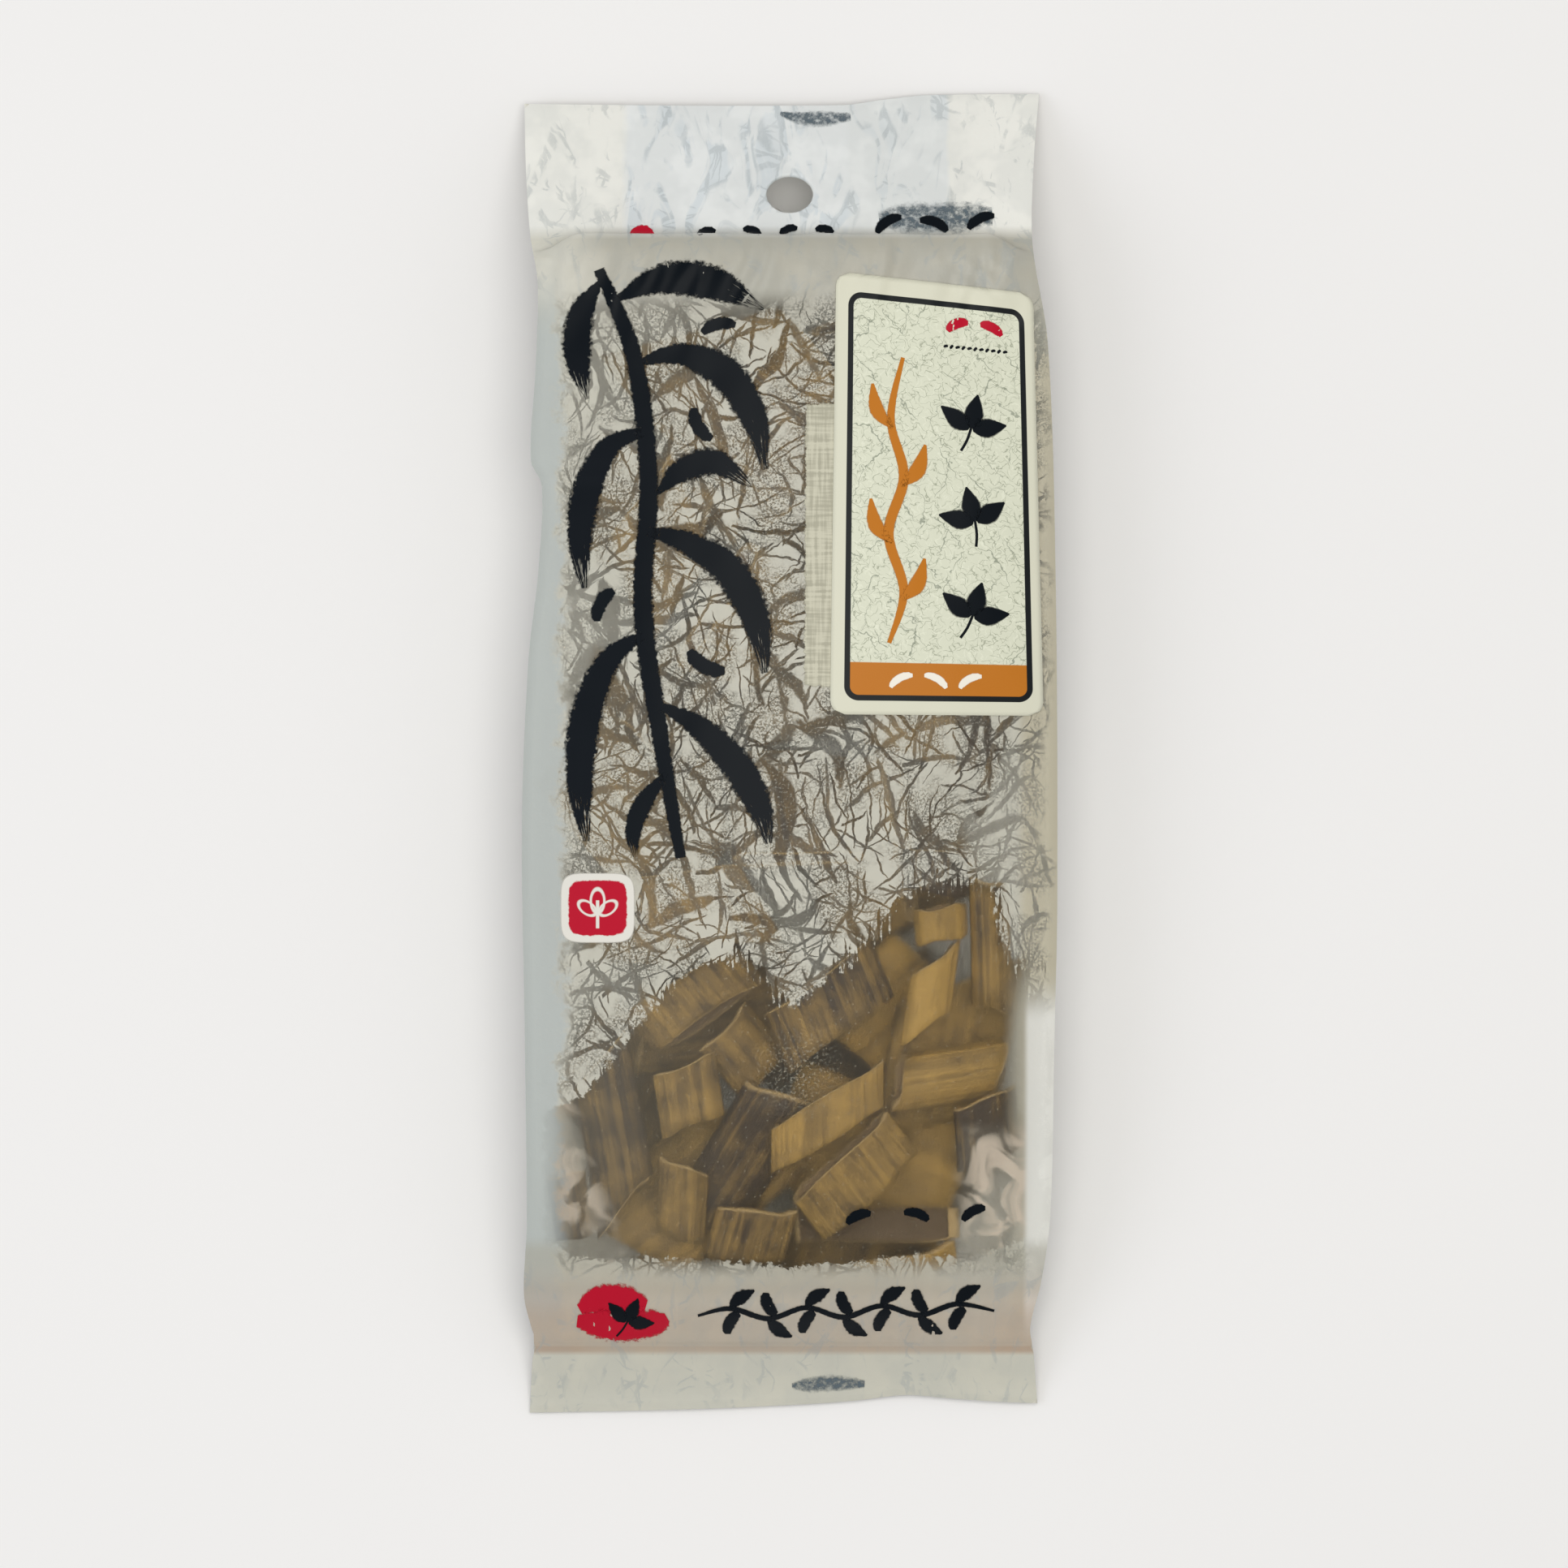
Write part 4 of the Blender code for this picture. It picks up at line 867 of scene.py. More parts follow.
def plate_point(share, zone, t, side):
    """Point of the flap or header; side is 1 on the front and -1 on the back."""
    if zone == "flap":
        x = outline_x(share, mix(-PLATE_READ_Y, FLAP_END_Y, t))
        y = mix(curve_value(BOTTOM_CUT, x), FLAP_END_Y, t)
        tip = y - curve_value(BOTTOM_CUT, x)
        fade = 1.0 - t
    else:
        x = outline_x(share, mix(HEADER_START_Y, PLATE_READ_Y, t))
        y = mix(HEADER_START_Y, curve_value(TOP_CUT, x), t)
        tip = curve_value(TOP_CUT, x) - y
        fade = smooth(t * 3.0)
    lift = side * plate_rise(share, y, tip) + ripple(x, y) * fade
    return Vector((x, y, plate_height(y) + lift))


def front_point(share, row, film):
    """Point of the front film."""
    zone, t = row
    if zone in ("flap", "header"):
        return plate_point(share, zone, t, 1)
    if zone == "foot":
        low = plate_point(share, "flap", 1.0, 1)
        high = front_point(share, ("belly", BELLY_START_Y), film)
        point = low.lerp(high, t)
        point.z = mix(low.z, high.z, smooth(t))
        return point
    if zone == "belly":
        x = outline_x(share, t)
        return Vector((x, t, belly_height(share, t) + crumple(x, t, film) * edge_fade(share)))
    start = front_point(share, ("belly", BELLY_END_Y), film)
    end = plate_point(share, "header", 0.0, 1)
    out = smooth(min(1.0, 5.0 * (1.0 - abs(share))))
    sway = NOSE_SWAY * noise.noise(Vector((start.x / 11, 4.4, 0.0))) * out
    first = start.lerp(end, 1 / 3)
    second = start.lerp(end, 2 / 3)
    first = first.lerp(Vector((start.x, start.y + NOSE_OUT + sway, start.z - NOSE_DROP)), out)
    second = second.lerp(Vector((end.x, start.y + NOSE_UNDER + sway, end.z + NOSE_RISE)), out)
    s = 1.0 - t
    return s ** 3 * start + 3 * s * s * t * first + 3 * s * t * t * second + t ** 3 * end


def back_point(share, row, film):
    """Point of the back film."""
    zone, t = row
    if zone in ("flap", "header"):
        return plate_point(share, zone, t, -1)
    if zone == "foot":
        return plate_point(share, "flap", 1.0, -1).lerp(back_point(share, ("belly", BELLY_START_Y), film), t)
    if zone == "shoulder":
        return back_point(share, ("belly", BELLY_END_Y), film).lerp(plate_point(share, "header", 0.0, -1), t)
    back, _, _, _, soft = crease_heights(t)
    left = curve_value(LEFT_EDGE, t) + CREASE_REACH * soft
    right = curve_value(RIGHT_EDGE, t) - CREASE_REACH * soft
    x = mix(left, right, 0.5 + 0.5 * share)
    dent = 0.5 + 0.5 * noise.noise(Vector((x / 17, t / 21, 9.3)))
    return Vector((x, t, back + (BACK_LIFT + BACK_DENT * dent) * edge_fade(share)))


def gusset_point(side, share, row, film):
    """Point of a gusset, from the front crease at share 0 in to its fold and out to the back at share 1."""
    zone, t = row
    if zone == "foot":
        shut = plate_point(side, "flap", 1.0, 1)
        return shut.lerp(gusset_point(side, share, ("belly", BELLY_START_Y), film), t)
    if zone == "shoulder":
        shut = plate_point(side, "header", 0.0, 1)
        return gusset_point(side, share, ("belly", BELLY_END_Y), film).lerp(shut, t)
    if zone != "belly":
        return plate_point(side, zone, 1.0 if zone == "flap" else 0.0, 1)
    back, low, high, _, soft = crease_heights(t)
    middle = 0.5 * (low + high)
    depth = curve_value(GUSSET, t)
    if share < FOLD_SHARE:
        way = share / FOLD_SHARE
        inset, z = depth * way, mix(high, middle, way)
    elif share < BACK_CREASE_SHARE:
        way = (share - FOLD_SHARE) / (BACK_CREASE_SHARE - FOLD_SHARE)
        inset, z = depth * (1.0 - way), mix(middle, low, way)
    else:
        way = (share - BACK_CREASE_SHARE) / (1.0 - BACK_CREASE_SHARE)
        inset, z = CREASE_REACH * soft * way, mix(low, back, way)
    wave = GUSSET_WAVE * noise.noise(Vector((t / 9, z / 6, 3.0 * side))) * math.sin(math.pi * share)
    return Vector((outline_x(side, t) - side * (inset + wave), t, z))


def window_distance(x, y):
    """How far a point lies inside the clear window, in millimetres; negative outside."""
    spot = Vector((x, y))
    near = 1e9
    inside = False
    for a, b in zip(WINDOW, WINDOW[1:] + WINDOW[:1]):
        start, end = Vector(a), Vector(b)
        run = end - start
        t = max(0.0, min(1.0, (spot - start).dot(run) / run.length_squared))
        near = min(near, (spot - start - run * t).length)
        if (a[1] > y) != (b[1] > y) and x < a[0] + (y - a[1]) / (b[1] - a[1]) * (b[0] - a[0]):
            inside = not inside
    return max(-WINDOW_REACH, min(WINDOW_REACH, near if inside else -near))


def grid_piece(columns, rows, place, flip=False):
    """A grid whose points go to place(u, v), u and v from 0 to 1, with u and v kept as its UV map."""
    bm = bmesh.new()
    bm.loops.layers.uv.new("UVMap")
    bmesh.ops.create_grid(bm, x_segments=columns, y_segments=rows, size=0.5, calc_uvs=True)
    for vert in bm.verts:
        vert.co = place(vert.co.x + 0.5, vert.co.y + 0.5)
    if flip:
        bmesh.ops.reverse_faces(bm, faces=bm.faces[:])
    bm.normal_update()
    return bm


def keep_piece(context, name, bm, paints, replaced=()):
    """Turns a bmesh into a smooth-shaded piece that rides on the packet."""
    mesh = bpy.data.meshes.new(name)
    bm.to_mesh(mesh)
    bm.free()
    mesh.shade_smooth()
    made = bpy.data.objects.new(name, mesh)
    context.scene.collection.objects.link(made)
    for paint in paints:
        mesh.materials.append(paint)
    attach(made, "root")
    if replaced:
        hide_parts(*replaced)
    return made


def punch_hang_hole(bm):
    """Opens the round hole in a film piece and returns the edges of its rim, from which the front film gets
    a short wall down to the back film.
    """
    x0, y0, radius = HANG_HOLE
    centre = Vector((x0, y0)) * MM
    stretch = math.sqrt(1.0 + HEADER_SLOPE ** 2)

    def reach(vert):
        return Vector((vert.co.x - centre.x, (vert.co.y - centre.y) * stretch)).length / MM

    inner = [f for f in bm.faces if all(reach(v) < radius for v in f.verts)]
    bmesh.ops.delete(bm, geom=inner, context="FACES")
    rim = [e for e in bm.edges if e.is_boundary and all(reach(v) < radius + HANG_HOLE_BAND for v in e.verts)]
    for vert in {v for e in rim for v in e.verts}:
        away = Vector((vert.co.x - centre.x, (vert.co.y - centre.y) * stretch))
        away *= radius * MM / away.length
        vert.co.x = centre.x + away.x
        vert.co.z -= HEADER_SLOPE * (centre.y + away.y / stretch - vert.co.y)
        vert.co.y = centre.y + away.y / stretch
    return rim


class PACKET_OT_film_pouch(bpy.types.Operator):
    """Build the film pouch: front, back, two gussets and the lapped seam"""

    bl_idname = "packet.film_pouch"
    bl_label = "Film pouch"
    bl_options = {"REGISTER", "UNDO"}

    def execute(self, context):
        film = context.scene.packet_film
        rows = film_stations(film)
        columns = round(2 * HALF_WIDTH / film.pitch)
        self.front(context, film, rows, columns)
        self.back(context, film, rows, columns // 2)
        self.gussets(context, film, rows)
        self.seam(context, film)
        return {"FINISHED"}

    def front(self, context, film, rows, columns):
        last = len(rows) - 1
        bm = grid_piece(columns, last, lambda u, v: front_point(2 * u - 1, rows[round(v * last)], film) * MM)
        rim = punch_hang_hole(bm)
        drop = Vector(HANG_HOLE_DROP) * MM
        low = {vert: bm.verts.new(vert.co + drop) for vert in dict.fromkeys(v for e in rim for v in e.verts)}
        for edge in rim:
            corner = edge.link_loops[0]
            first, second = corner.vert, corner.link_loop_next.vert
            bm.faces.new((second, first, low[first], low[second]))
        bm.normal_update()
        window = bm.verts.layers.float.new("window")
        for vert in bm.verts:
            vert[window] = window_distance(vert.co.x / MM, vert.co.y / MM)
        keep_piece(context, "film_front", bm, [front_film_material(film)], ["film_pouch"])

    def back(self, context, film, rows, columns):
        last = len(rows) - 1
        bm = grid_piece(columns, last, lambda u, v: back_point(2 * u - 1, rows[round(v * last)], film) * MM,
                        True)
        punch_hang_hole(bm)
        paint = plain_film_material(film, "printed_matte_film_back", linear("#F3F0E8"), 0.96, 0.6,
                                    (0.0, 0.0, 0.6))
        keep_piece(context, "film_back", bm, [paint], ["film_pouch"])

    def gussets(self, context, film, rows):
        part = [row for row in rows if row[0] in ("foot", "belly", "shoulder")]
        part = [("flap", 1.0)] + part + [("header", 0.0)]
        last = len(part) - 1
        paint = plain_film_material(film, "milky_film_gusset", film.milky, 0.82, 0.35,
                                    (0.0, math.pi / 2, 0.0))
        for side, name in ((-1, "film_gusset_left"), (1, "film_gusset_right")):
            bm = grid_piece(GUSSET_COLUMNS, last,
                            lambda u, v: gusset_point(side, u, part[round(v * last)], film) * MM, side < 0)
            keep_piece(context, name, bm, [paint], ["film_pouch"])

    def seam(self, context, film):
        def place(u, v):
            y = mix(BOTTOM_SEAL_Y, BELLY_END_Y, v)
            x = mix(-SEAM_HALF_WIDTH, SEAM_HALF_WIDTH, u)
            x += SEAM_WAVER * noise.noise(Vector((y / 14, u * 3, 0)))
            zone = ("belly", y)
            if y <= BELLY_START_Y:
                zone = ("foot", (y - FLAP_END_Y) / (BELLY_START_Y - FLAP_END_Y))
            base = back_point(x / BACK_HALF_WIDTH, zone, film)
            return Vector((x, y, max(SEAM_LEAST_Z, base.z - SEAM_UNDER - SEAM_TURN * abs(2 * u - 1)))) * MM

        bm = grid_piece(*SEAM_MESH, place, True)
        paint = plain_film_material(film, "printed_matte_film_seam", film.ink, 0.97, 0.5, (0.0, 0.0, 1.7))
        keep_piece(context, "film_back_seam", bm, [paint], ["film_pouch"])


def path_point(path, v):
    """Place, half width and direction at share v of a smooth path."""
    spans = len(path) - 1
    index = min(int(v * spans), spans - 1)
    t = v * spans - index
    a, b, c, d = (Vector(path[max(0, min(spans, index + k))]) for k in (-1, 0, 1, 2))
    bend = 2 * a - 5 * b + 4 * c - d
    twist = 3 * b - a - 3 * c + d
    place = 0.5 * (2 * b + (c - a) * t + bend * t * t + twist * t ** 3)
    run = 0.5 * ((c - a) + 2 * bend * t + 3 * twist * t * t)
    return place, run.to_2d().normalized()


def bean_path(x, y, length, half, turn):
    """Path of a small curved bean."""
    along = Vector((math.cos(math.radians(turn)), math.sin(math.radians(turn))))
    side = along.orthogonal()
    middle = Vector((x, y))
    bowed = ((-0.5, -0.04, 0.45), (-0.3, 0.07, 0.95), (0.0, 0.12, 1.0), (0.3, 0.07, 0.95),
             (0.5, -0.04, 0.45))
    return [(*(middle + along * length * s + side * length * bow), half * w) for s, bow, w in bowed]


def leaf_paths(x, y, size, turn):
    """Paths of a three-part leaf on its bent stalk."""
    fork = Vector((x, y))
    up = Vector((math.cos(math.radians(turn)), math.sin(math.radians(turn))))
    back = [(*(fork + size * (up * s + up.orthogonal() * bow)), 0.035 * size)
            for s, bow in ((-0.42, 0.1), (-0.2, 0.03), (0.04, 0.0))]
    paths = [back]
    for spread in (0, 66, -66):
        away = Matrix.Rotation(math.radians(spread), 2) @ up
        paths.append([(*(fork + size * away * s), size * half)
                      for s, half in ((0.04, 0.04), (0.16, 0.19), (0.32, 0.25), (0.5, 0.16), (0.68, 0.02))])
    return paths


def surface_under(names):
    """Finds the top of the named pieces under a point, in millimetres."""
    bm = bmesh.new()
    for name in names:
        bm.from_mesh(bpy.data.objects[name].data)
    tree = BVHTree.FromBMesh(bm)
    bm.free()

    def top(x, y, lift):
        hit = tree.ray_cast(Vector((x, y, RAY_START)) * MM, Vector((0, 0, -1)))[0]
        if hit is None:
            raise RuntimeError(f"no surface under a print at {x:.1f}, {y:.1f}")
        return Vector((x * MM, y * MM, hit.z + lift * MM))

    return top


class Strokes:
    """Brush strokes gathered in one mesh that lies on a surface. The UV map holds the place across a stroke,
    from -1 to 1, and along it in millimetres; the attribute dry rises where the brush leaves the film."""

    def __init__(self, top, lift):
        self.bm = bmesh.new()
        self.uv = self.bm.loops.layers.uv.new("UVMap")
        self.dry = self.bm.verts.layers.float.new("dry")
        self.top = top
        self.lift = lift
        self.count = 0

    def stroke(self, path, dryness=0.5, spot=None):
        self.count += 1
        length = sum(math.dist(a[:2], b[:2]) for a, b in zip(path, path[1:]))
        widest = max(p[2] for p in path)
        rows = max(4, round(length / STROKE_PITCH))
        columns = max(4, 2 * round(widest / STROKE_PITCH))
        made = bmesh.ops.create_grid(self.bm, x_segments=columns, y_segments=rows, size=0.5, calc_uvs=True)
        for vert in made["verts"]:
            u, v = 2 * vert.co.x, vert.co.y + 0.5
            place, run = path_point(path, v)
            off = place.to_2d() + Vector((-run.y, run.x)) * u * place.z
            for loop in vert.link_loops:
                loop[self.uv].uv = (u, v * length + STROKE_UV_STEP * self.count)
            # The brush lands a little dry, and runs dry from near the middle on.
            vert[self.dry] = dryness * smooth((v - 0.45) / 0.55) + 0.35 * dryness * smooth((0.1 - v) / 0.1)
            x, y = spot(off.x, off.y) if spot else off
            vert.co = self.top(x, y, self.lift)
        # A path that runs downwards turns its faces over.
        faces = dict.fromkeys(f for v in made["verts"] for f in v.link_faces)
        low = [f for f in faces if f.normal_update() or f.normal.z < 0]
        bmesh.ops.reverse_faces(self.bm, faces=low)

    def keep(self, context, name, paint):
        self.bm.normal_update()
        return keep_piece(context, name, self.bm, [paint], ())


def printed(tree, tint, cover, roughness=0.4, specular=0.12):
    """Closes a material as a thin coat of ink that covers the film by a share."""
    ink = add(tree, "BsdfPrincipled", {"Base Color": tint, "Roughness": roughness, "IOR": 1.49,
                                       "Specular IOR Level": specular})
    bare = add(tree, "BsdfTransparent", {"Color": (1.0, 1.0, 1.0)})
    close_material(tree, add(tree, "MixShader", {0: cover, 1: bare, 2: ink}))


def brush_ink(name, colour, torn_edge, fade=0.16, wash=1.0):
    """Ink laid by a half-dry brush: solid in the middle, torn at its edges and streaked where it runs dry. A
    wash below 1 is thin, cloudy ink."""
    made, tree = new_material(name)
    across = add(tree, "SeparateXYZ", {0: add(tree, "UVMap", uv_map="UVMap")})
    place = millimetres(tree)
    dry = add(tree, "Attribute", attribute_name="dry")
    bristle = add(tree, "CombineXYZ", {0: (across, 0), 1: (across, 1)})
    bristle = add(tree, "VectorMath", {0: bristle, 1: (7.0, 0.22, 1.0)}, operation="MULTIPLY")
    streak = add(tree, "TexNoise", {"Vector": bristle, "Scale": 1.0, "Detail": 3.0, "Roughness": 0.65})
    torn = add(tree, "TexNoise", {"Vector": place, "Scale": 1.1, "Detail": 4.0, "Roughness": 0.7})
    torn = add(tree, "MapRange", {"Value": torn, "To Min": -torn_edge, "To Max": torn_edge})
    side = add(tree, "Math", {0: (across, 0)}, operation="ABSOLUTE")
    side = add(tree, "Math", {0: side, 1: torn}, operation="ADD")
    inside = add(tree, "MapRange", {"Value": side, "From Min": 0.78 - fade, "From Max": 0.78, "To Min": 1.0,
                                    "To Max": 0.0})
    limit = add(tree, "MapRange", {"Value": (dry, "Fac"), "To Min": 0.02, "To Max": 0.62})
    wet = add(tree, "Math", {0: streak, 1: limit}, operation="SUBTRACT")
    wet = add(tree, "MapRange", {"Value": wet, "From Min": -0.03, "From Max": 0.05})
    cover = add(tree, "Math", {0: inside, 1: wet}, operation="MULTIPLY")
    if wash < 1.0:
        cloud = add(tree, "TexNoise", {"Vector": place, "Scale": 0.7, "Detail": 4.0, "Roughness": 0.7})
        cloud = add(tree, "MapRange", {"Value": cloud, "From Min": 0.36, "From Max": 0.6,
                                       "To Min": 0.2 * wash, "To Max": wash})
        cover = add(tree, "Math", {0: cover, 1: cloud}, operation="MULTIPLY")
    printed(tree, colour, cover)
    return made


class PACKET_OT_film_print(bpy.types.Operator):
    """Print the brushed bean spray, the red seal, the blot and the small marks on the film"""

    bl_idname = "packet.film_print"
    bl_label = "Film print"
    bl_options = {"REGISTER", "UNDO"}

    def execute(self, context):
        inks = context.scene.packet_print
        top = surface_under(["film_front"])
        self.spray(context, inks, top)
        self.marks(context, inks, top)
        self.red(context, inks, top)
        self.washes(context, inks, top)
        self.backing(context, top)
        return {"FINISHED"}

    def spray(self, context, inks, top):
        ink = Strokes(top, SPRAY_LIFT)
        ink.stroke(STEM, 0.25)
        for pod in PODS:
            ink.stroke(pod, 0.75)
        for leaf in LEAVES:
            ink.stroke(leaf, 0.85)
        for bean in BEANS:
            ink.stroke(bean_path(*bean), 0.4)
        ink.keep(context, "print_bean_spray", brush_ink("black_gravure_ink", inks.black, 0.34))

    def marks(self, context, inks, top):
        ink = Strokes(top, MARK_LIFT)
        ink.stroke(FOOT_VINE, 0.2)
        for number, (x, y, _) in enumerate(FOOT_VINE[1:-1]):
            side = 1 if number % 2 == 0 else -1
            ink.stroke(((x, y, 0.5), (x + 1.0, y + 1.5 * side, 1.7), (x + 2.6, y + 2.8 * side, 2.0),
                        (x + 5.0, y + 4.0 * side, 0.3)), 0.2)
            ink.stroke(bean_path(x + 0.4, y - 3.2 * side, 5.2, 1.8, 62 if side > 0 else 116), 0.2)
        for bean in WINDOW_BEANS + HEADER_BEANS:
            ink.stroke(bean_path(*bean), 0.3)
        ink.keep(context, "print_small_beans", brush_ink("black_gravure_ink_fine", inks.black, 0.22))

    def red(self, context, inks, top):
        ink = Strokes(top, MARK_LIFT)
        for path in RED_BLOTS:
            ink.stroke(path, 0.5)
        ink.stroke(RED_DOT, 0.0)
        ink.keep(context, "print_red_blot", brush_ink("red_gravure_ink", inks.red, 0.3))
        sprig = Strokes(top, SPRIG_LIFT)
        for path in leaf_paths(*BLOT_LEAF):
            sprig.stroke(path, 0.3)
        sprig.keep(context, "print_blot_sprig", brush_ink("black_gravure_ink_blot", inks.black, 0.16))

        def place(u, v):
            x, y = [middle + (share - 0.5) * size
                    for middle, share, size in zip(SEAL_CENTRE, (u, v), SEAL_SIZE)]
            return top(x, y, SPRAY_LIFT)

        bm = grid_piece(16, 16, place)
        keep_piece(context, "print_red_seal", bm, [self.seal_ink(inks)], ())

    def seal_ink(self, inks):
        """Stamped red square in a white rounded patch; a three-lobed leaf with its stalk stays white."""
        made, tree = new_material("red_and_white_stamp_ink")
        around = add(tree, "UVMap", uv_map="UVMap")
        centre = add(tree, "VectorMath", {0: around, 1: (0.5, 0.5, 0.0)}, operation="SUBTRACT")
        centre = add(tree, "VectorMath", {0: centre, 1: (*SEAL_SIZE, 0.0)}, operation="MULTIPLY")
        worn = add(tree, "TexNoise", {"Vector": millimetres(tree), "Scale": 0.9, "Detail": 4.0,
                                      "Roughness": 0.7})
        worn = add(tree, "MapRange", {"Value": worn, "To Min": -0.9, "To Max": 0.9})
        axes = add(tree, "SeparateXYZ", {0: add(tree, "VectorMath", {0: centre}, operation="ABSOLUTE")})
        squared = []
        for side, size in enumerate(SEAL_SIZE):
            share = add(tree, "Math", {0: (axes, side), 1: size / 2}, operation="DIVIDE")
            squared.append(add(tree, "Math", {0: share, 1: 5.0}, operation="POWER"))
        block = add(tree, "Math", {0: squared[0], 1: squared[1]}, operation="ADD")
        block = add(tree, "Math", {0: block, 1: 0.2}, operation="POWER")
        patch = add(tree, "MapRange", {"Value": block, "From Min": 0.93, "From Max": 0.97, "To Min": 1.0,
                                       "To Max": 0.0})
        pressed = add(tree, "MapRange", {"Value": worn, "From Min": -0.9, "From Max": 0.9, "To Min": -0.05,
                                         "To Max": 0.05})
        pressed = add(tree, "Math", {0: block, 1: pressed}, operation="ADD")
        square = add(tree, "MapRange", {"Value": pressed, "From Min": 0.74, "From Max": 0.77, "To Min": 1.0,
                                        "To Max": 0.0})
        # Three lobes of a bean leaf, each an ellipse that is turned about the stalk's foot, as white lines.
        lobes = []
        for turn, reach, bend in ((0.0, 2.6, 1.5), (0.95, 2.2, 1.3), (-0.95, 2.2, 1.3)):
            lobe = add(tree, "Mapping", {"Vector": centre, "Location": (0.0, 1.6, 0.0)})
            lobe = add(tree, "VectorRotate", {"Vector": lobe, "Angle": turn}, rotation_type="Z_AXIS")
            lobe = add(tree, "VectorMath", {0: lobe, 1: (0.0, reach + 0.5, 0.0)}, operation="SUBTRACT")
            lobe = add(tree, "VectorMath", {0: lobe, 1: (1.0 / bend, 1.0 / reach, 0.0)},
                       operation="MULTIPLY")
            size = add(tree, "VectorMath", {0: lobe}, operation="LENGTH")
            lobes.append(between(tree, (size, 1), 0.8, 1.12, 0.08))
        spread = add(tree, "SeparateXYZ", {0: centre})
        stalk = add(tree, "Math", {0: between(tree, (spread, 0), -0.35, 0.35, 0.1),
                                   1: between(tree, (spread, 1), -4.3, 1.6, 0.1)}, operation="MULTIPLY")
        lines = add(tree, "Math", {0: 1.0, 1: most(tree, [*lobes, stalk])}, operation="SUBTRACT")
        red = add(tree, "Math", {0: square, 1: lines}, operation="MULTIPLY")
        tint = add(tree, "Mix", {0: red, 6: linear("#E6E3DA"), 7: inks.red}, data_type="RGBA")
        printed(tree, (tint, 2), patch)
        return made

    def washes(self, context, inks, top):
        ink = Strokes(top, WASH_LIFT)
        for path in (HEADER_WASH, TOP_SMUDGE, FLAP_SMUDGE):
            ink.stroke(path, 0.3)
        ink.keep(context, "print_grey_wash", brush_ink("grey_gravure_wash", inks.grey, 0.34, 0.4, 0.95))

    def backing(self, context, top):
        low_left, high_left, high_right, low_right = (Vector(corner) for corner in BACKING_STRIP)

        def place(u, v):
            spot = low_left.lerp(low_right, u).lerp(high_left.lerp(high_right, u), v)
            return top(spot.x, spot.y, CLOTH_LIFT)

        bm = grid_piece(10, 60, place)
        keep_piece(context, "print_textile_strip", bm, [self.woven_print()], ())

    def woven_print(self):
        """Cream ink printed as coarse hand-woven cloth, threads about 0.7 mm apart, worn at its edges."""
        made, tree = new_material("cream_woven_print")
        place = millimetres(tree)
        warp = add(tree, "VectorMath", {0: place, 1: (1.5, 0.1, 1.0)}, operation="MULTIPLY")
        warp = add(tree, "TexNoise", {"Vector": warp, "Scale": 1.0, "Detail": 2.0}, noise_dimensions="2D")
        weft = add(tree, "VectorMath", {0: place, 1: (0.1, 1.5, 1.0)}, operation="MULTIPLY")
        weft = add(tree, "TexNoise", {"Vector": weft, "Scale": 1.0, "Detail": 2.0}, noise_dimensions="2D")
        cloth = add(tree, "Math", {0: warp, 1: weft}, operation="ADD")
        cloth = add(tree, "MapRange", {"Value": cloth, "From Min": 0.8, "From Max": 1.2})
        tint = add(tree, "Mix", {0: cloth, 6: linear("#ABA893"), 7: linear("#CAC7B1")}, data_type="RGBA")
        around = add(tree, "SeparateXYZ", {0: (add(tree, "UVMap", uv_map="UVMap"), 0)})
        worn = add(tree, "TexNoise", {"Vector": place, "Scale": 0.8, "Detail": 5.0, "Roughness": 0.7})
        worn = add(tree, "MapRange", {"Value": worn, "To Min": -0.12, "To Max": 0.12})
        side = add(tree, "Math", {0: (around, 0), 1: worn}, operation="ADD")
        end = add(tree, "Math", {0: worn, 1: 0.12, 2: (around, 1)}, operation="MULTIPLY_ADD")
        cover = add(tree, "Math", {0: between(tree, side, 0.06, 1.2, 0.02),
                                   1: between(tree, end, 0.015, 0.985, 0.004)}, operation="MULTIPLY")
        printed(tree, (tint, 2), cover, 0.5, 0.5)
        return made


def label_spot(u, v):
    """Place on the film of a point in label millimetres."""
    s, t = u / LABEL_SIZE[0], v / LABEL_SIZE[1]
    low_left, low_right, high_right, high_left = (Vector(c) for c in LABEL_CORNERS)
    spot = low_left.lerp(low_right, s).lerp(high_left.lerp(high_right, s), t)
    return spot.x, spot.y


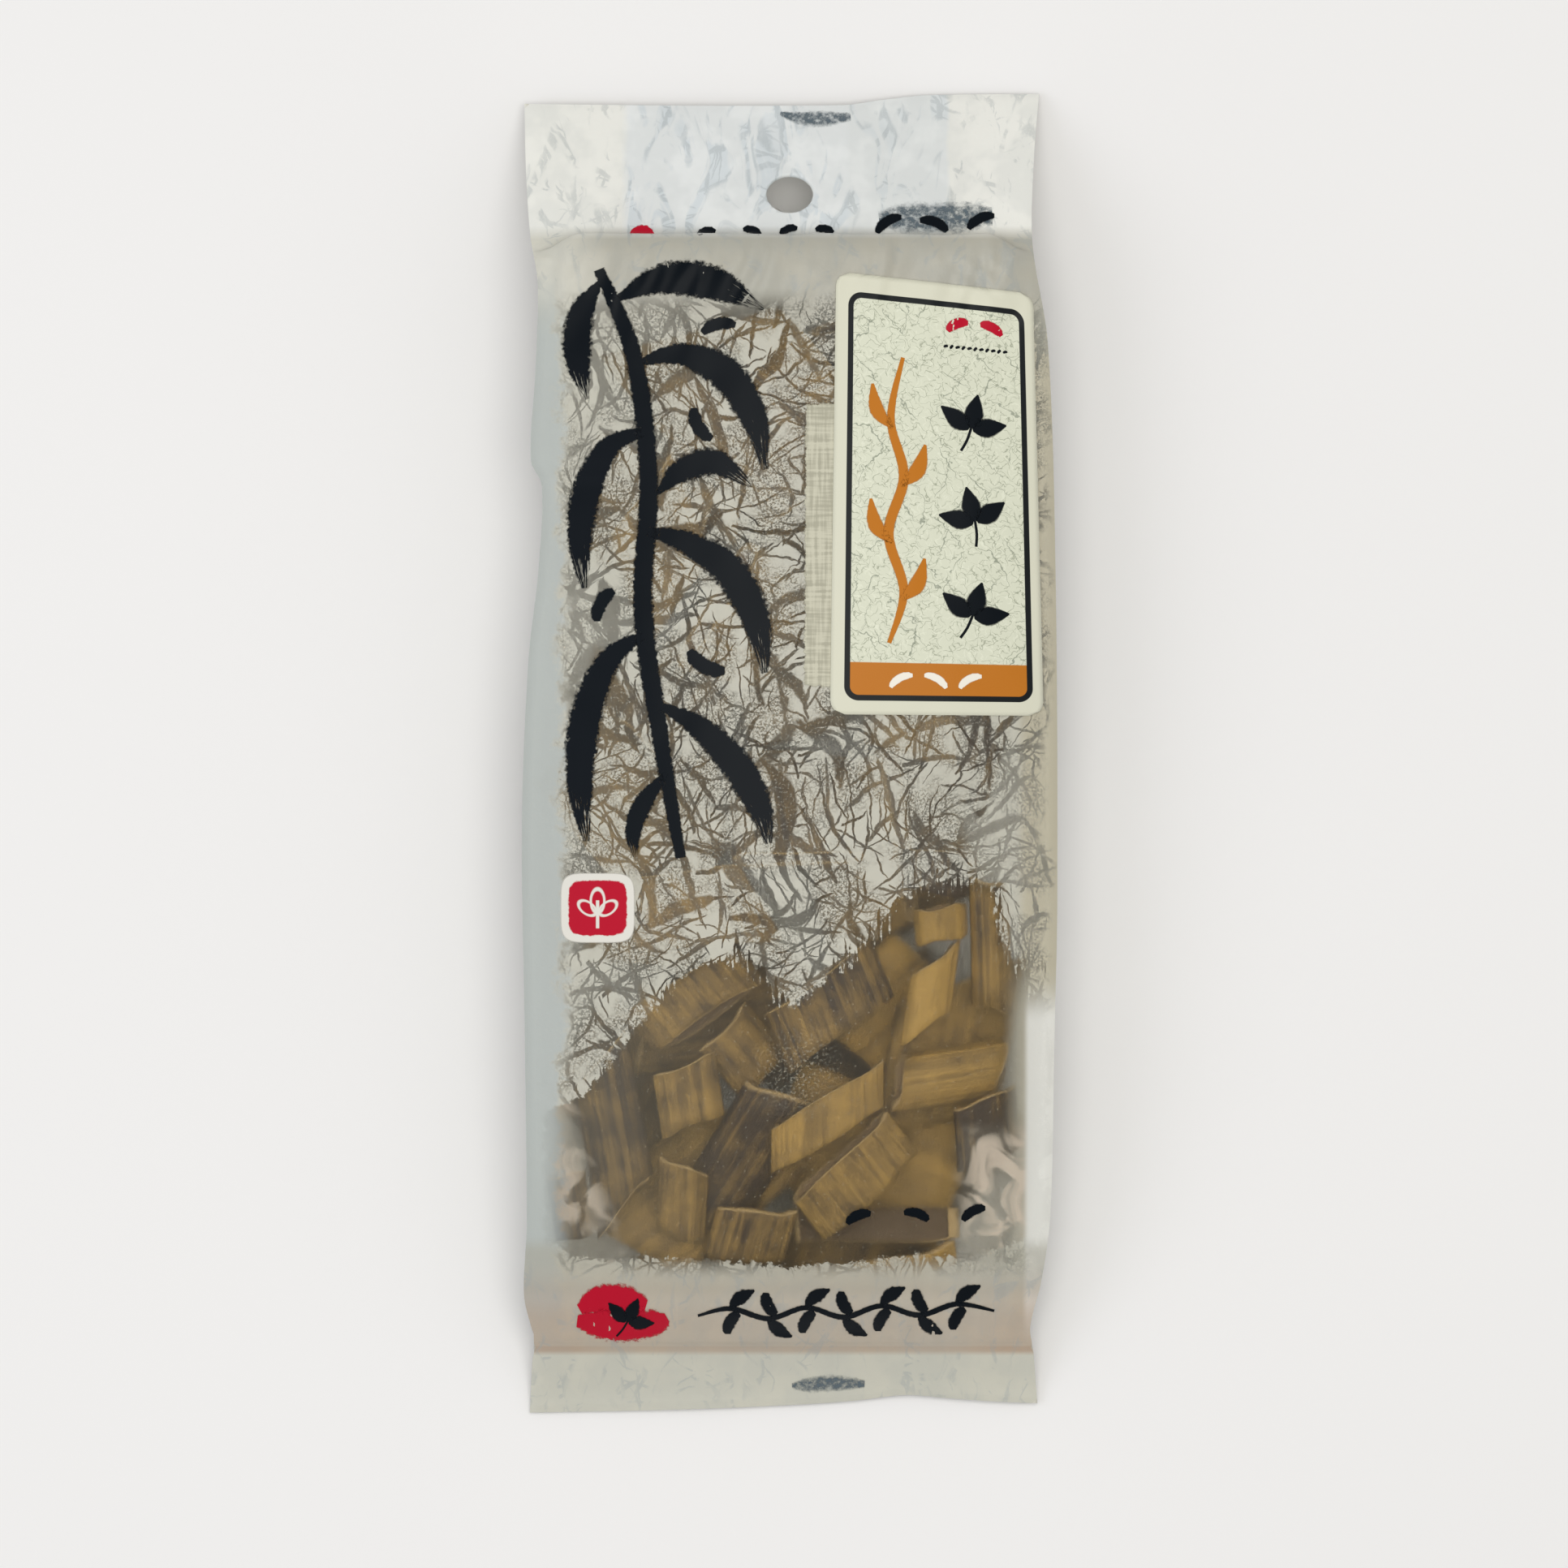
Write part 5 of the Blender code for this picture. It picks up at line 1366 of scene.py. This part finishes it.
class PACKET_OT_label(bpy.types.Operator):
    """Stick the paper label on the film and print it"""

    bl_idname = "packet.label"
    bl_label = "Label"
    bl_options = {"REGISTER", "UNDO"}

    def execute(self, context):
        label = context.scene.packet_label
        inks = context.scene.packet_print
        top = surface_under(["film_front"])
        width, height = LABEL_SIZE

        def place(u, v):
            up = v * height
            cut = LABEL_CORNER - min(up, height - up)
            inset = LABEL_CORNER - math.sqrt(max(0.0, LABEL_CORNER ** 2 - cut ** 2)) if cut > 0 else 0.0
            return top(*label_spot(mix(inset, width - inset, u), up), label.lift / MM)

        bm = grid_piece(round(width), round(height), place)
        uv = bm.loops.layers.uv["UVMap"]
        for face in bm.faces:
            for loop in face.loops:
                loop[uv].uv = (loop[uv].uv.x * width, loop[uv].uv.y * height)
        made = keep_piece(context, "label_sheet", bm, [self.label_paper(label, inks)], ["label_sticker"])
        stock = made.modifiers.new("Stock", "SOLIDIFY")
        stock.thickness = label.thickness
        stock.offset = 1.0
        self.prints(context, label, inks)
        return {"FINISHED"}

    def prints(self, context, label, inks):
        base = surface_under(["label_sheet"])
        lift = label.thickness / MM + LABEL_INK_LIFT
        leaves = [path for leaf in LABEL_LEAVES for path in leaf_paths(*leaf)]
        red = [bean_path(*bean) for bean in LABEL_RED]
        seeds = [bean_path(*bean) for bean in LABEL_SEEDS]
        band = [bean_path(*bean) for bean in BAND_BEANS]
        vine = (LABEL_VINE, *LABEL_VINE_LEAVES)
        for name, ink_name, colour, paths, dryness in (
                ("label_black_leaves", "black_offset_ink", inks.black, leaves, 0.2),
                ("label_red_beans", "red_offset_ink", inks.red, red, 0.1),
                ("label_seed_row", "black_offset_ink_fine", inks.black, seeds, 0.1),
                ("label_orange_vine", "orange_offset_ink", inks.orange, vine, 0.1),
                ("label_band_beans", "white_offset_ink", linear("#F6F1E4"), band, 0.1)):
            ink = Strokes(base, lift)
            for path in paths:
                ink.stroke(path, dryness, label_spot)
            ink.keep(context, name, brush_ink(ink_name, colour, 0.1))

    def label_paper(self, label, inks):
        """Coated paper, offset printed: pale field with printed fibres, hard black frame, slight sheen."""
        made, tree = new_material("coated_label_paper")
        around = add(tree, "UVMap", uv_map="UVMap")
        axes = add(tree, "SeparateXYZ", {0: around})
        distances = []
        for side, (low, high) in enumerate(LABEL_FRAME):
            middle, half = 0.5 * (low + high), 0.5 * (high - low)
            away = add(tree, "Math", {0: (axes, side), 1: middle}, operation="SUBTRACT")
            away = add(tree, "Math", {0: away}, operation="ABSOLUTE")
            away = add(tree, "Math", {0: away, 1: half - LABEL_FRAME_CORNER}, operation="SUBTRACT")
            distances.append(away)
        beyond = [add(tree, "Math", {0: d, 1: 0.0}, operation="MAXIMUM") for d in distances]
        square = [add(tree, "Math", {0: b, 1: b}, operation="MULTIPLY") for b in beyond]
        corner = add(tree, "Math", {0: add(tree, "Math", {0: square[0], 1: square[1]}, operation="ADD")},
                     operation="SQRT")
        inner = add(tree, "Math", {0: distances[0], 1: distances[1]}, operation="MAXIMUM")
        inner = add(tree, "Math", {0: inner, 1: 0.0}, operation="MINIMUM")
        outside = add(tree, "Math", {0: corner, 1: inner}, operation="ADD")
        line = between(tree, outside, 1.8, 3.0, 0.06)
        field = add(tree, "MapRange", {"Value": outside, "From Min": 2.2, "From Max": 2.4, "To Min": 1.0,
                                       "To Max": 0.0})
        # Printed fibres: short dark hairs, a few long curls, and pale ones between.
        kink = shaken(tree, around, 0.5, 2.0, 2.4)
        place = add(tree, "VectorMath", {0: around, 1: kink}, operation="ADD")
        paper = add(tree, "Mix", {0: 0.35, 6: label.paper, 7: linear("#DDE0C8")}, data_type="RGBA")
        for seed, (*layer, colour, share) in enumerate(LABEL_HAIRS, 41):
            hair = strand_layer(tree, place, *layer, seed)
            hair = add(tree, "Math", {0: hair, 1: share}, operation="MULTIPLY")
            paper = add(tree, "Mix", {0: hair, 6: (paper, 2), 7: linear(colour)}, data_type="RGBA")
        band = between(tree, (axes, 1), -5.0, 10.9, 0.12)
        paper = add(tree, "Mix", {0: band, 6: (paper, 2), 7: inks.orange}, data_type="RGBA")
        tint = add(tree, "Mix", {0: field, 6: label.border, 7: (paper, 2)}, data_type="RGBA")
        tint = add(tree, "Mix", {0: line, 6: (tint, 2), 7: linear("#060D10")}, data_type="RGBA")
        grain = add(tree, "TexNoise", {"Vector": around, "Scale": 2.4, "Detail": 3.0})
        relief = add(tree, "Bump", {"Height": grain, "Strength": 0.12, "Distance": 0.0002})
        face = add(tree, "BsdfPrincipled", {"Base Color": (tint, 2), "Roughness": 0.5, "IOR": 1.5,
                                            "Specular IOR Level": 0.25, "Normal": relief})
        close_material(tree, face)
        return made


def front_height(x, y):
    """Height of the smooth front film over (x, y)."""
    left = curve_value(LEFT_EDGE, y)
    right = curve_value(RIGHT_EDGE, y)
    return belly_height((2 * x - left - right) / (right - left), y)


def front_tilt(x, y):
    """Turn that lays a flat piece along the front film at (x, y)."""
    step = 2.0
    across = (front_height(x + step, y) - front_height(x - step, y)) / (2 * step)
    along = (front_height(x, y + step) - front_height(x, y - step)) / (2 * step)
    return Vector((0, 0, 1)).rotation_difference(Vector((-across, -along, 1.0))).to_matrix()


class PodSlice:
    """Shape of one slice about the pod's own axes, from the same draws that shaped its solid."""

    def __init__(self, kind, width, length, slant, dice):
        self.loop = kind == "loop"
        self.spread = width
        self.width = width if self.loop else width * VALVE_BLADE
        self.thickness = POD_THICKNESS * dice.uniform(*(LOOP_THICKNESS if self.loop else VALVE_THICKNESS))
        self.start = 0.0 if self.loop else dice.uniform(*VALVE_START)
        self.length = length
        self.lean = math.tan(math.radians(slant))
        self.curl = dice.uniform(-CURL_HEIGHT, CURL_HEIGHT)
        self.twist = dice.uniform(-TWIST, TWIST)
        if self.loop:
            self.angles = [2 * math.pi * (i + 0.5) / LOOP_POINTS - math.pi for i in range(LOOP_POINTS)]
        else:
            step = (VALVE_FAR_ANGLE - self.start) / (VALVE_POINTS - 1)
            self.angles = [self.start + step * i for i in range(VALVE_POINTS)]
        self.waves = [dice.uniform(-SOLID_CUT_WAVE, SOLID_CUT_WAVE) for _ in self.angles]

    def point(self, angle, s, grow, wave):
        """Point at an angle round the pod and s along the slice, sunk into the wall by a negative grow."""
        c, d = math.cos(angle), math.sin(angle)
        swing = (angle + math.pi) % (2 * math.pi) - math.pi
        ridge = SUTURE_RIDGE * max(0.0, 1 - abs(swing) / SUTURE_RIDGE_ANGLE) * (1 + grow / POD_WALL)
        x = (self.width / 2 + grow) * math.copysign(abs(c) ** POD_BLUNTNESS, c) + ridge
        z = (self.thickness / 2 + grow) * math.copysign(abs(d) ** POD_BLUNTNESS, d)
        z *= 1 - POD_TAPER * c
        y = s * self.length + self.lean * x + wave * s
        z += self.curl * (y / CURL_SPAN) ** 2 + self.twist * y * x / self.spread
        return Vector((x, y, z))

    def lie(self, node, x, y, turn):
        """Lays the slice with its turn where the node's solid is. False if the solid is another slice."""
        corners = [self.point(angle, s, grow, wave) for angle, wave in zip(self.angles, self.waves)
                   for s in (-0.5, 0.0, 0.5) for grow in (0.0, -POD_WALL)]
        middle = sum(corners, Vector()) / len(corners)
        turned = [turn @ (corner - middle) for corner in corners]
        low, high = [Vector([pick(point[k] for point in turned) for k in range(3)]) for pick in (min, max)]
        solid_low, solid_high = [Vector(corner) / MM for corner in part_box(node)]
        centre = Vector((x, y, solid_low.z - low.z))
        self.node = node
        self.turn = turn
        self.origin = centre - turn @ middle
        apart = max((low + centre - solid_low).length, (high + centre - solid_high).length)
        return apart < SOLID_MATCH


def window_slices():
    """The slices seen through the window, each turned along the film over it."""
    dice = random.Random(SLICE_SEED)
    slices = []
    for name, kind, x, y, turn, width, length, slant, roll, tip in FRONT_SLICES:
        shape = PodSlice(kind, width, length, slant, dice)
        own = Euler((math.radians(roll), math.radians(tip), math.radians(turn)), "XYZ").to_matrix()
        if not shape.lie("slice_" + name, x, y, front_tilt(x, y) @ own):
            raise RuntimeError(f"the solid of {name} has another shape")
        slices.append(shape)
    return slices


def heap_slices():
    """The rest of the heap: of the places tried for each slice, the one where its solid lies."""
    dice = random.Random(SLICE_SEED + 1)
    slices = []
    for _ in range(HEAP_TRIES):
        if len(slices) == HEAP_SLICES:
            return slices
        kind = "loop" if dice.random() < LOOP_SHARE else "valve"
        width = dice.uniform(*(LOOP_WIDTH if kind == "loop" else VALVE_WIDTH))
        length = dice.uniform(*(LOOP_LENGTH if kind == "loop" else VALVE_LENGTH))
        shape = PodSlice(kind, width, length, dice.uniform(-SLANT_LIMIT, SLANT_LIMIT), dice)
        places = []
        for _ in range(PLACES_TRIED):
            x = dice.uniform(-HEAP_X, HEAP_X)
            y = HEAP_Y[0] + (HEAP_Y[1] - HEAP_Y[0]) * dice.random() ** HEAP_SLIDE
            lean = [dice.uniform(-limit, limit) for limit in HEAP_LEAN]
            turn = Euler((*lean, dice.uniform(0.0, 2 * math.pi)))
            places.append((x, y, turn.to_matrix()))
        node = f"slice_{len(slices) + 1:02d}"
        if any(shape.lie(node, *place) for place in places):
            slices.append(shape)
    if len(slices) < HEAP_SLICES:
        raise RuntimeError(f"only {len(slices)} of the heap's solids were found")
    return slices


class PACKET_OT_pod_slices(bpy.types.Operator):
    """Slice the dried pods and heap the slices in the packet"""

    bl_idname = "packet.pod_slices"
    bl_label = "Pod slices"
    bl_options = {"REGISTER", "UNDO"}

    def execute(self, context):
        pod = context.scene.packet_pod
        paint = self.dried_pod(pod)
        groups = {"window": [], "low": [], "middle": [], "high": []}
        in_window = window_slices()
        for number, shape in enumerate(in_window + heap_slices()):
            y = shape.origin.y
            key = "low" if y < LOW_SLICES_Y else "middle" if y < MIDDLE_SLICES_Y else "high"
            groups["window" if number < len(in_window) else key].append((number, shape))
        for key, members in groups.items():
            bm = bmesh.new()
            uv = bm.loops.layers.uv.new("UVMap")
            shade = bm.verts.layers.float.new("shade")
            for number, shape in members:
                self.slice(bm, uv, shade, number, shape, pod)
            nodes = [shape.node for _, shape in members]
            keep_piece(context, "pod_slices_" + key, bm, [paint], nodes)
        return {"FINISHED"}

    def slice(self, bm, uv, shade, number, shape, pod):
        """One slice: across the grid goes round the pod, up the grid goes over the outer skin, the cut, the
        lining and the other cut. A loop closes on itself, a valve is capped at both ends."""
        first, last = (0.0, 2 * math.pi) if shape.loop else (shape.start, VALVE_FAR_ANGLE)
        steps = pod.steps_around if shape.loop else round(pod.steps_around * VALVE_STEPS)

        def place(angle, section):
            other_side, row = divmod(section % WALL_ROWS, SKIN_ROWS + CUT_ROWS)
            s = min(row, SKIN_ROWS) / SKIN_ROWS - 0.5
            sunk = max(0.0, row - SKIN_ROWS) / CUT_ROWS
            grow = -POD_WALL * (1.0 - sunk if other_side else sunk)
            s = -s if other_side else s
            point = shape.point(angle, s, grow, 2 * CUT_WAVE * math.sin(3 * angle + number))
            dent = SKIN_DENT * noise.noise(Vector((angle * 1.7 + 9 * number, point.y / 6, 0.4 * number)))
            point.z += dent * (smooth(min(angle, last - angle) / SEAM_CALM) if shape.loop else 1.0)
            return (shape.turn @ point + shape.origin) * MM

        made = bmesh.ops.create_grid(bm, x_segments=steps, y_segments=WALL_ROWS, size=0.5, calc_uvs=True)
        verts = made["verts"]
        faces = list(dict.fromkeys(f for v in verts for f in v.link_faces))
        tone = SHADES.get(shape.node.removeprefix("slice_"), OTHER_SHADES[number % len(OTHER_SHADES)])
        for vert in verts:
            u, v = vert.co.x + 0.5, vert.co.y + 0.5
            for loop in vert.link_loops:
                around = u * (last - first) * 0.25 * (shape.width + shape.thickness)
                loop[uv].uv = (around + SLICE_UV_STEP * number, WALL_ROWS * v)
            vert[shade] = tone
            vert.co = place(mix(first, last, u), WALL_ROWS * v)
        edge = [v for v in verts if v.is_boundary]
        bmesh.ops.remove_doubles(bm, verts=edge, dist=MERGE_DISTANCE)
        faces = [f for f in faces if f.is_valid]
        if not shape.loop:
            open_edges = [e for e in dict.fromkeys(e for f in faces for e in f.edges) if e.is_boundary]
            filled = bmesh.ops.holes_fill(bm, edges=open_edges, sides=0)["faces"]
            for face in filled:
                for loop in face.loops:
                    loop[uv].uv = (SLICE_UV_STEP * number, 7.0)
            faces += filled
        bmesh.ops.recalc_face_normals(bm, faces=faces)

    def dried_pod(self, pod):
        """Air-dried bean pod: leathery brown skin with fine veins along the pod and darker blotches, satin
        papery lining that darkens as painted shade where the slice's shade is low, pale fibrous cut wall."""
        made, tree = new_material("air_dried_pod_wall")
        around = add(tree, "UVMap", uv_map="UVMap")
        axes = add(tree, "SeparateXYZ", {0: around})
        shade = add(tree, "Attribute", attribute_name="shade")
        place = millimetres(tree)
        blotch = add(tree, "TexNoise", {"Vector": place, "Scale": 0.16, "Detail": 4.0, "Roughness": 0.6})
        blotch = add(tree, "MapRange", {"Value": blotch, "From Min": 0.3, "From Max": 0.7, "To Min": -0.22,
                                        "To Max": 0.22})
        grain = add(tree, "VectorMath", {0: around, 1: (1.9, 0.12, 1.0)}, operation="MULTIPLY")
        veins = add(tree, "TexNoise", {"Vector": grain, "Scale": 1.0, "Detail": 4.0, "Roughness": 0.6})
        vein = add(tree, "MapRange", {"Value": veins, "From Min": 0.35, "From Max": 0.65, "To Min": -0.16,
                                      "To Max": 0.16})
        ridges = add(tree, "VectorMath", {0: around, 1: (0.42, 0.02, 1.0)}, operation="MULTIPLY")
        ridges = add(tree, "TexNoise", {"Vector": ridges, "Scale": 1.0, "Detail": 1.0})
        ridge = add(tree, "MapRange", {"Value": ridges, "From Min": 0.35, "From Max": 0.65, "To Min": -0.16,
                                       "To Max": 0.16})
        blotch = add(tree, "Math", {0: blotch, 1: ridge}, operation="ADD")
        tone = add(tree, "Math", {0: (shade, "Fac"), 1: blotch}, operation="ADD")
        tone = add(tree, "Math", {0: tone, 1: vein}, operation="ADD", use_clamp=True)
        # The skin's tone follows the slice's shade, which on some slices is painted shade.
        skin = add(tree, "Mix", {0: tone, 6: pod.dark, 7: pod.bright}, data_type="RGBA")
        lined = between(tree, (axes, 1), 7.9, 14.1, 0.1)
        satin = add(tree, "Mix", {0: vein, 6: pod.lining, 7: linear("#7A5A34")}, data_type="RGBA")
        # Where the slice's shade is low the lining darkens too: painted shade in its hollow.
        satin = add(tree, "Mix", {0: (shade, "Fac"), 6: linear("#54412C"), 7: (satin, 2)}, data_type="RGBA")
        tint = add(tree, "Mix", {0: lined, 6: (skin, 2), 7: (satin, 2)}, data_type="RGBA")
        cuts = [between(tree, (axes, 1), low, high, 0.12) for low, high in ((5.9, 8.1), (13.9, 17.0))]
        fibre = add(tree, "TexNoise", {"Vector": place, "Scale": 1.8, "Detail": 3.0})
        rim = add(tree, "Mix", {0: fibre, 6: linear("#9C7A48"), 7: pod.cut}, data_type="RGBA")
        tint = add(tree, "Mix", {0: most(tree, cuts), 6: (tint, 2), 7: (rim, 2)}, data_type="RGBA")
        pores = add(tree, "TexNoise", {"Vector": place, "Scale": 1.4, "Detail": 4.0})
        height = add(tree, "Math", {0: pores, 1: 0.4, 2: veins}, operation="MULTIPLY_ADD")
        height = add(tree, "Math", {0: ridges, 1: 2.5, 2: height}, operation="MULTIPLY_ADD")
        relief = add(tree, "Bump", {"Height": height, "Strength": 0.5, "Distance": 0.0006})
        wall = add(tree, "BsdfPrincipled", {"Base Color": (tint, 2), "Roughness": 0.62, "IOR": 1.45,
                                            "Normal": relief})
        close_material(tree, wall)
        return made


class PACKET_OT_studio(bpy.types.Operator):
    """Set the pale floor, the soft lights and the camera"""

    bl_idname = "packet.studio"
    bl_label = "Studio"
    bl_options = {"REGISTER", "UNDO"}

    def execute(self, context):
        stage = context.scene.packet_stage
        self.floor(context, stage)
        for name, place, size, share, colour in LAMPS:
            self.light(context, name, place, size, stage.key * share, colour)
        world = bpy.data.worlds.new("studio_air")
        context.scene.world = world
        world.use_nodes = True
        world.node_tree.nodes.clear()
        air = add(world.node_tree, "Background", {"Color": linear("#F6F6F6"), "Strength": stage.sky})
        add(world.node_tree, "OutputWorld", {"Surface": air})
        lens = bpy.data.cameras.new("overhead_camera")
        lens.sensor_width = SENSOR_WIDTH
        lens.lens = SENSOR_WIDTH * stage.distance / stage.view_width
        lens.clip_start = 0.05
        camera = bpy.data.objects.new("overhead_camera", lens)
        context.scene.collection.objects.link(camera)
        camera.location = Vector(CAMERA_OVER) * MM + Vector((0, 0, stage.distance))
        context.scene.camera = camera
        context.scene.view_settings.view_transform = "Standard"
        context.scene.cycles.transparent_max_bounces = 24
        return {"FINISHED"}

    def floor(self, context, stage):
        bm = bmesh.new()
        bmesh.ops.create_grid(bm, x_segments=8, y_segments=8, size=FLOOR_HALF)
        bmesh.ops.translate(bm, verts=bm.verts[:], vec=(0, 0, -FLOOR_DROP))
        mesh = bpy.data.meshes.new("studio_floor")
        bm.to_mesh(mesh)
        bm.free()
        made, tree = new_material("matte_board")
        tone = add(tree, "TexNoise", {"Vector": (add(tree, "TexCoord"), "Object"), "Scale": 3.0,
                                      "Detail": 3.0})
        tint = add(tree, "Mix", {0: tone, 6: stage.floor, 7: linear("#F6F5F4")}, data_type="RGBA")
        close_material(tree, add(tree, "BsdfPrincipled", {"Base Color": (tint, 2), "Roughness": 0.8}))
        mesh.materials.append(made)
        floor = bpy.data.objects.new("studio_floor", mesh)
        context.scene.collection.objects.link(floor)

    def light(self, context, name, place, size, power, colour):
        """A round soft lamp that looks at the packet."""
        lamp = bpy.data.lights.new(name, "AREA")
        lamp.shape = "DISK"
        lamp.size = size
        lamp.energy = power
        lamp.color = linear(colour)
        made = bpy.data.objects.new(name, lamp)
        context.scene.collection.objects.link(made)
        made.visible_camera = False
        made.location = place
        made.rotation_euler = (-Vector(place)).to_track_quat("-Z", "Y").to_euler()


class PACKET_PT_sidebar(bpy.types.Panel):
    """Steps that build the packet, with their sizes and colours"""

    bl_idname = "PACKET_PT_sidebar"
    bl_label = "Bean slice packet"
    bl_space_type = "VIEW_3D"
    bl_region_type = "UI"
    bl_category = "Packet"

    def draw(self, context):
        layout = self.layout
        for operator, settings in STEPS:
            box = layout.box()
            box.operator(operator.bl_idname)
            group = getattr(context.scene, settings)
            for key in group.bl_rna.properties.keys():
                if key not in ("rna_type", "name"):
                    box.prop(group, key)


GROUPS = {"packet_film": FilmSettings, "packet_print": PrintSettings, "packet_label": LabelSettings,
          "packet_pod": PodSettings, "packet_stage": StageSettings}
STEPS = ((PACKET_OT_film_pouch, "packet_film"), (PACKET_OT_label, "packet_label"),
         (PACKET_OT_film_print, "packet_print"), (PACKET_OT_pod_slices, "packet_pod"),
         (PACKET_OT_studio, "packet_stage"))


def register():
    for group in GROUPS.values():
        bpy.utils.register_class(group)
    for operator, _ in STEPS:
        bpy.utils.register_class(operator)
    bpy.utils.register_class(PACKET_PT_sidebar)
    for key, group in GROUPS.items():
        setattr(bpy.types.Scene, key, PointerProperty(type=group))


def unregister():
    for key in GROUPS:
        delattr(bpy.types.Scene, key)
    bpy.utils.unregister_class(PACKET_PT_sidebar)
    for operator, _ in reversed(STEPS):
        bpy.utils.unregister_class(operator)
    for group in reversed(GROUPS.values()):
        bpy.utils.unregister_class(group)


def main():
    register()
    bpy.ops.packet.film_pouch()
    bpy.ops.packet.film_print()
    bpy.ops.packet.label()
    bpy.ops.packet.pod_slices()
    bpy.ops.packet.studio()


if __name__ == "__main__":
    main()
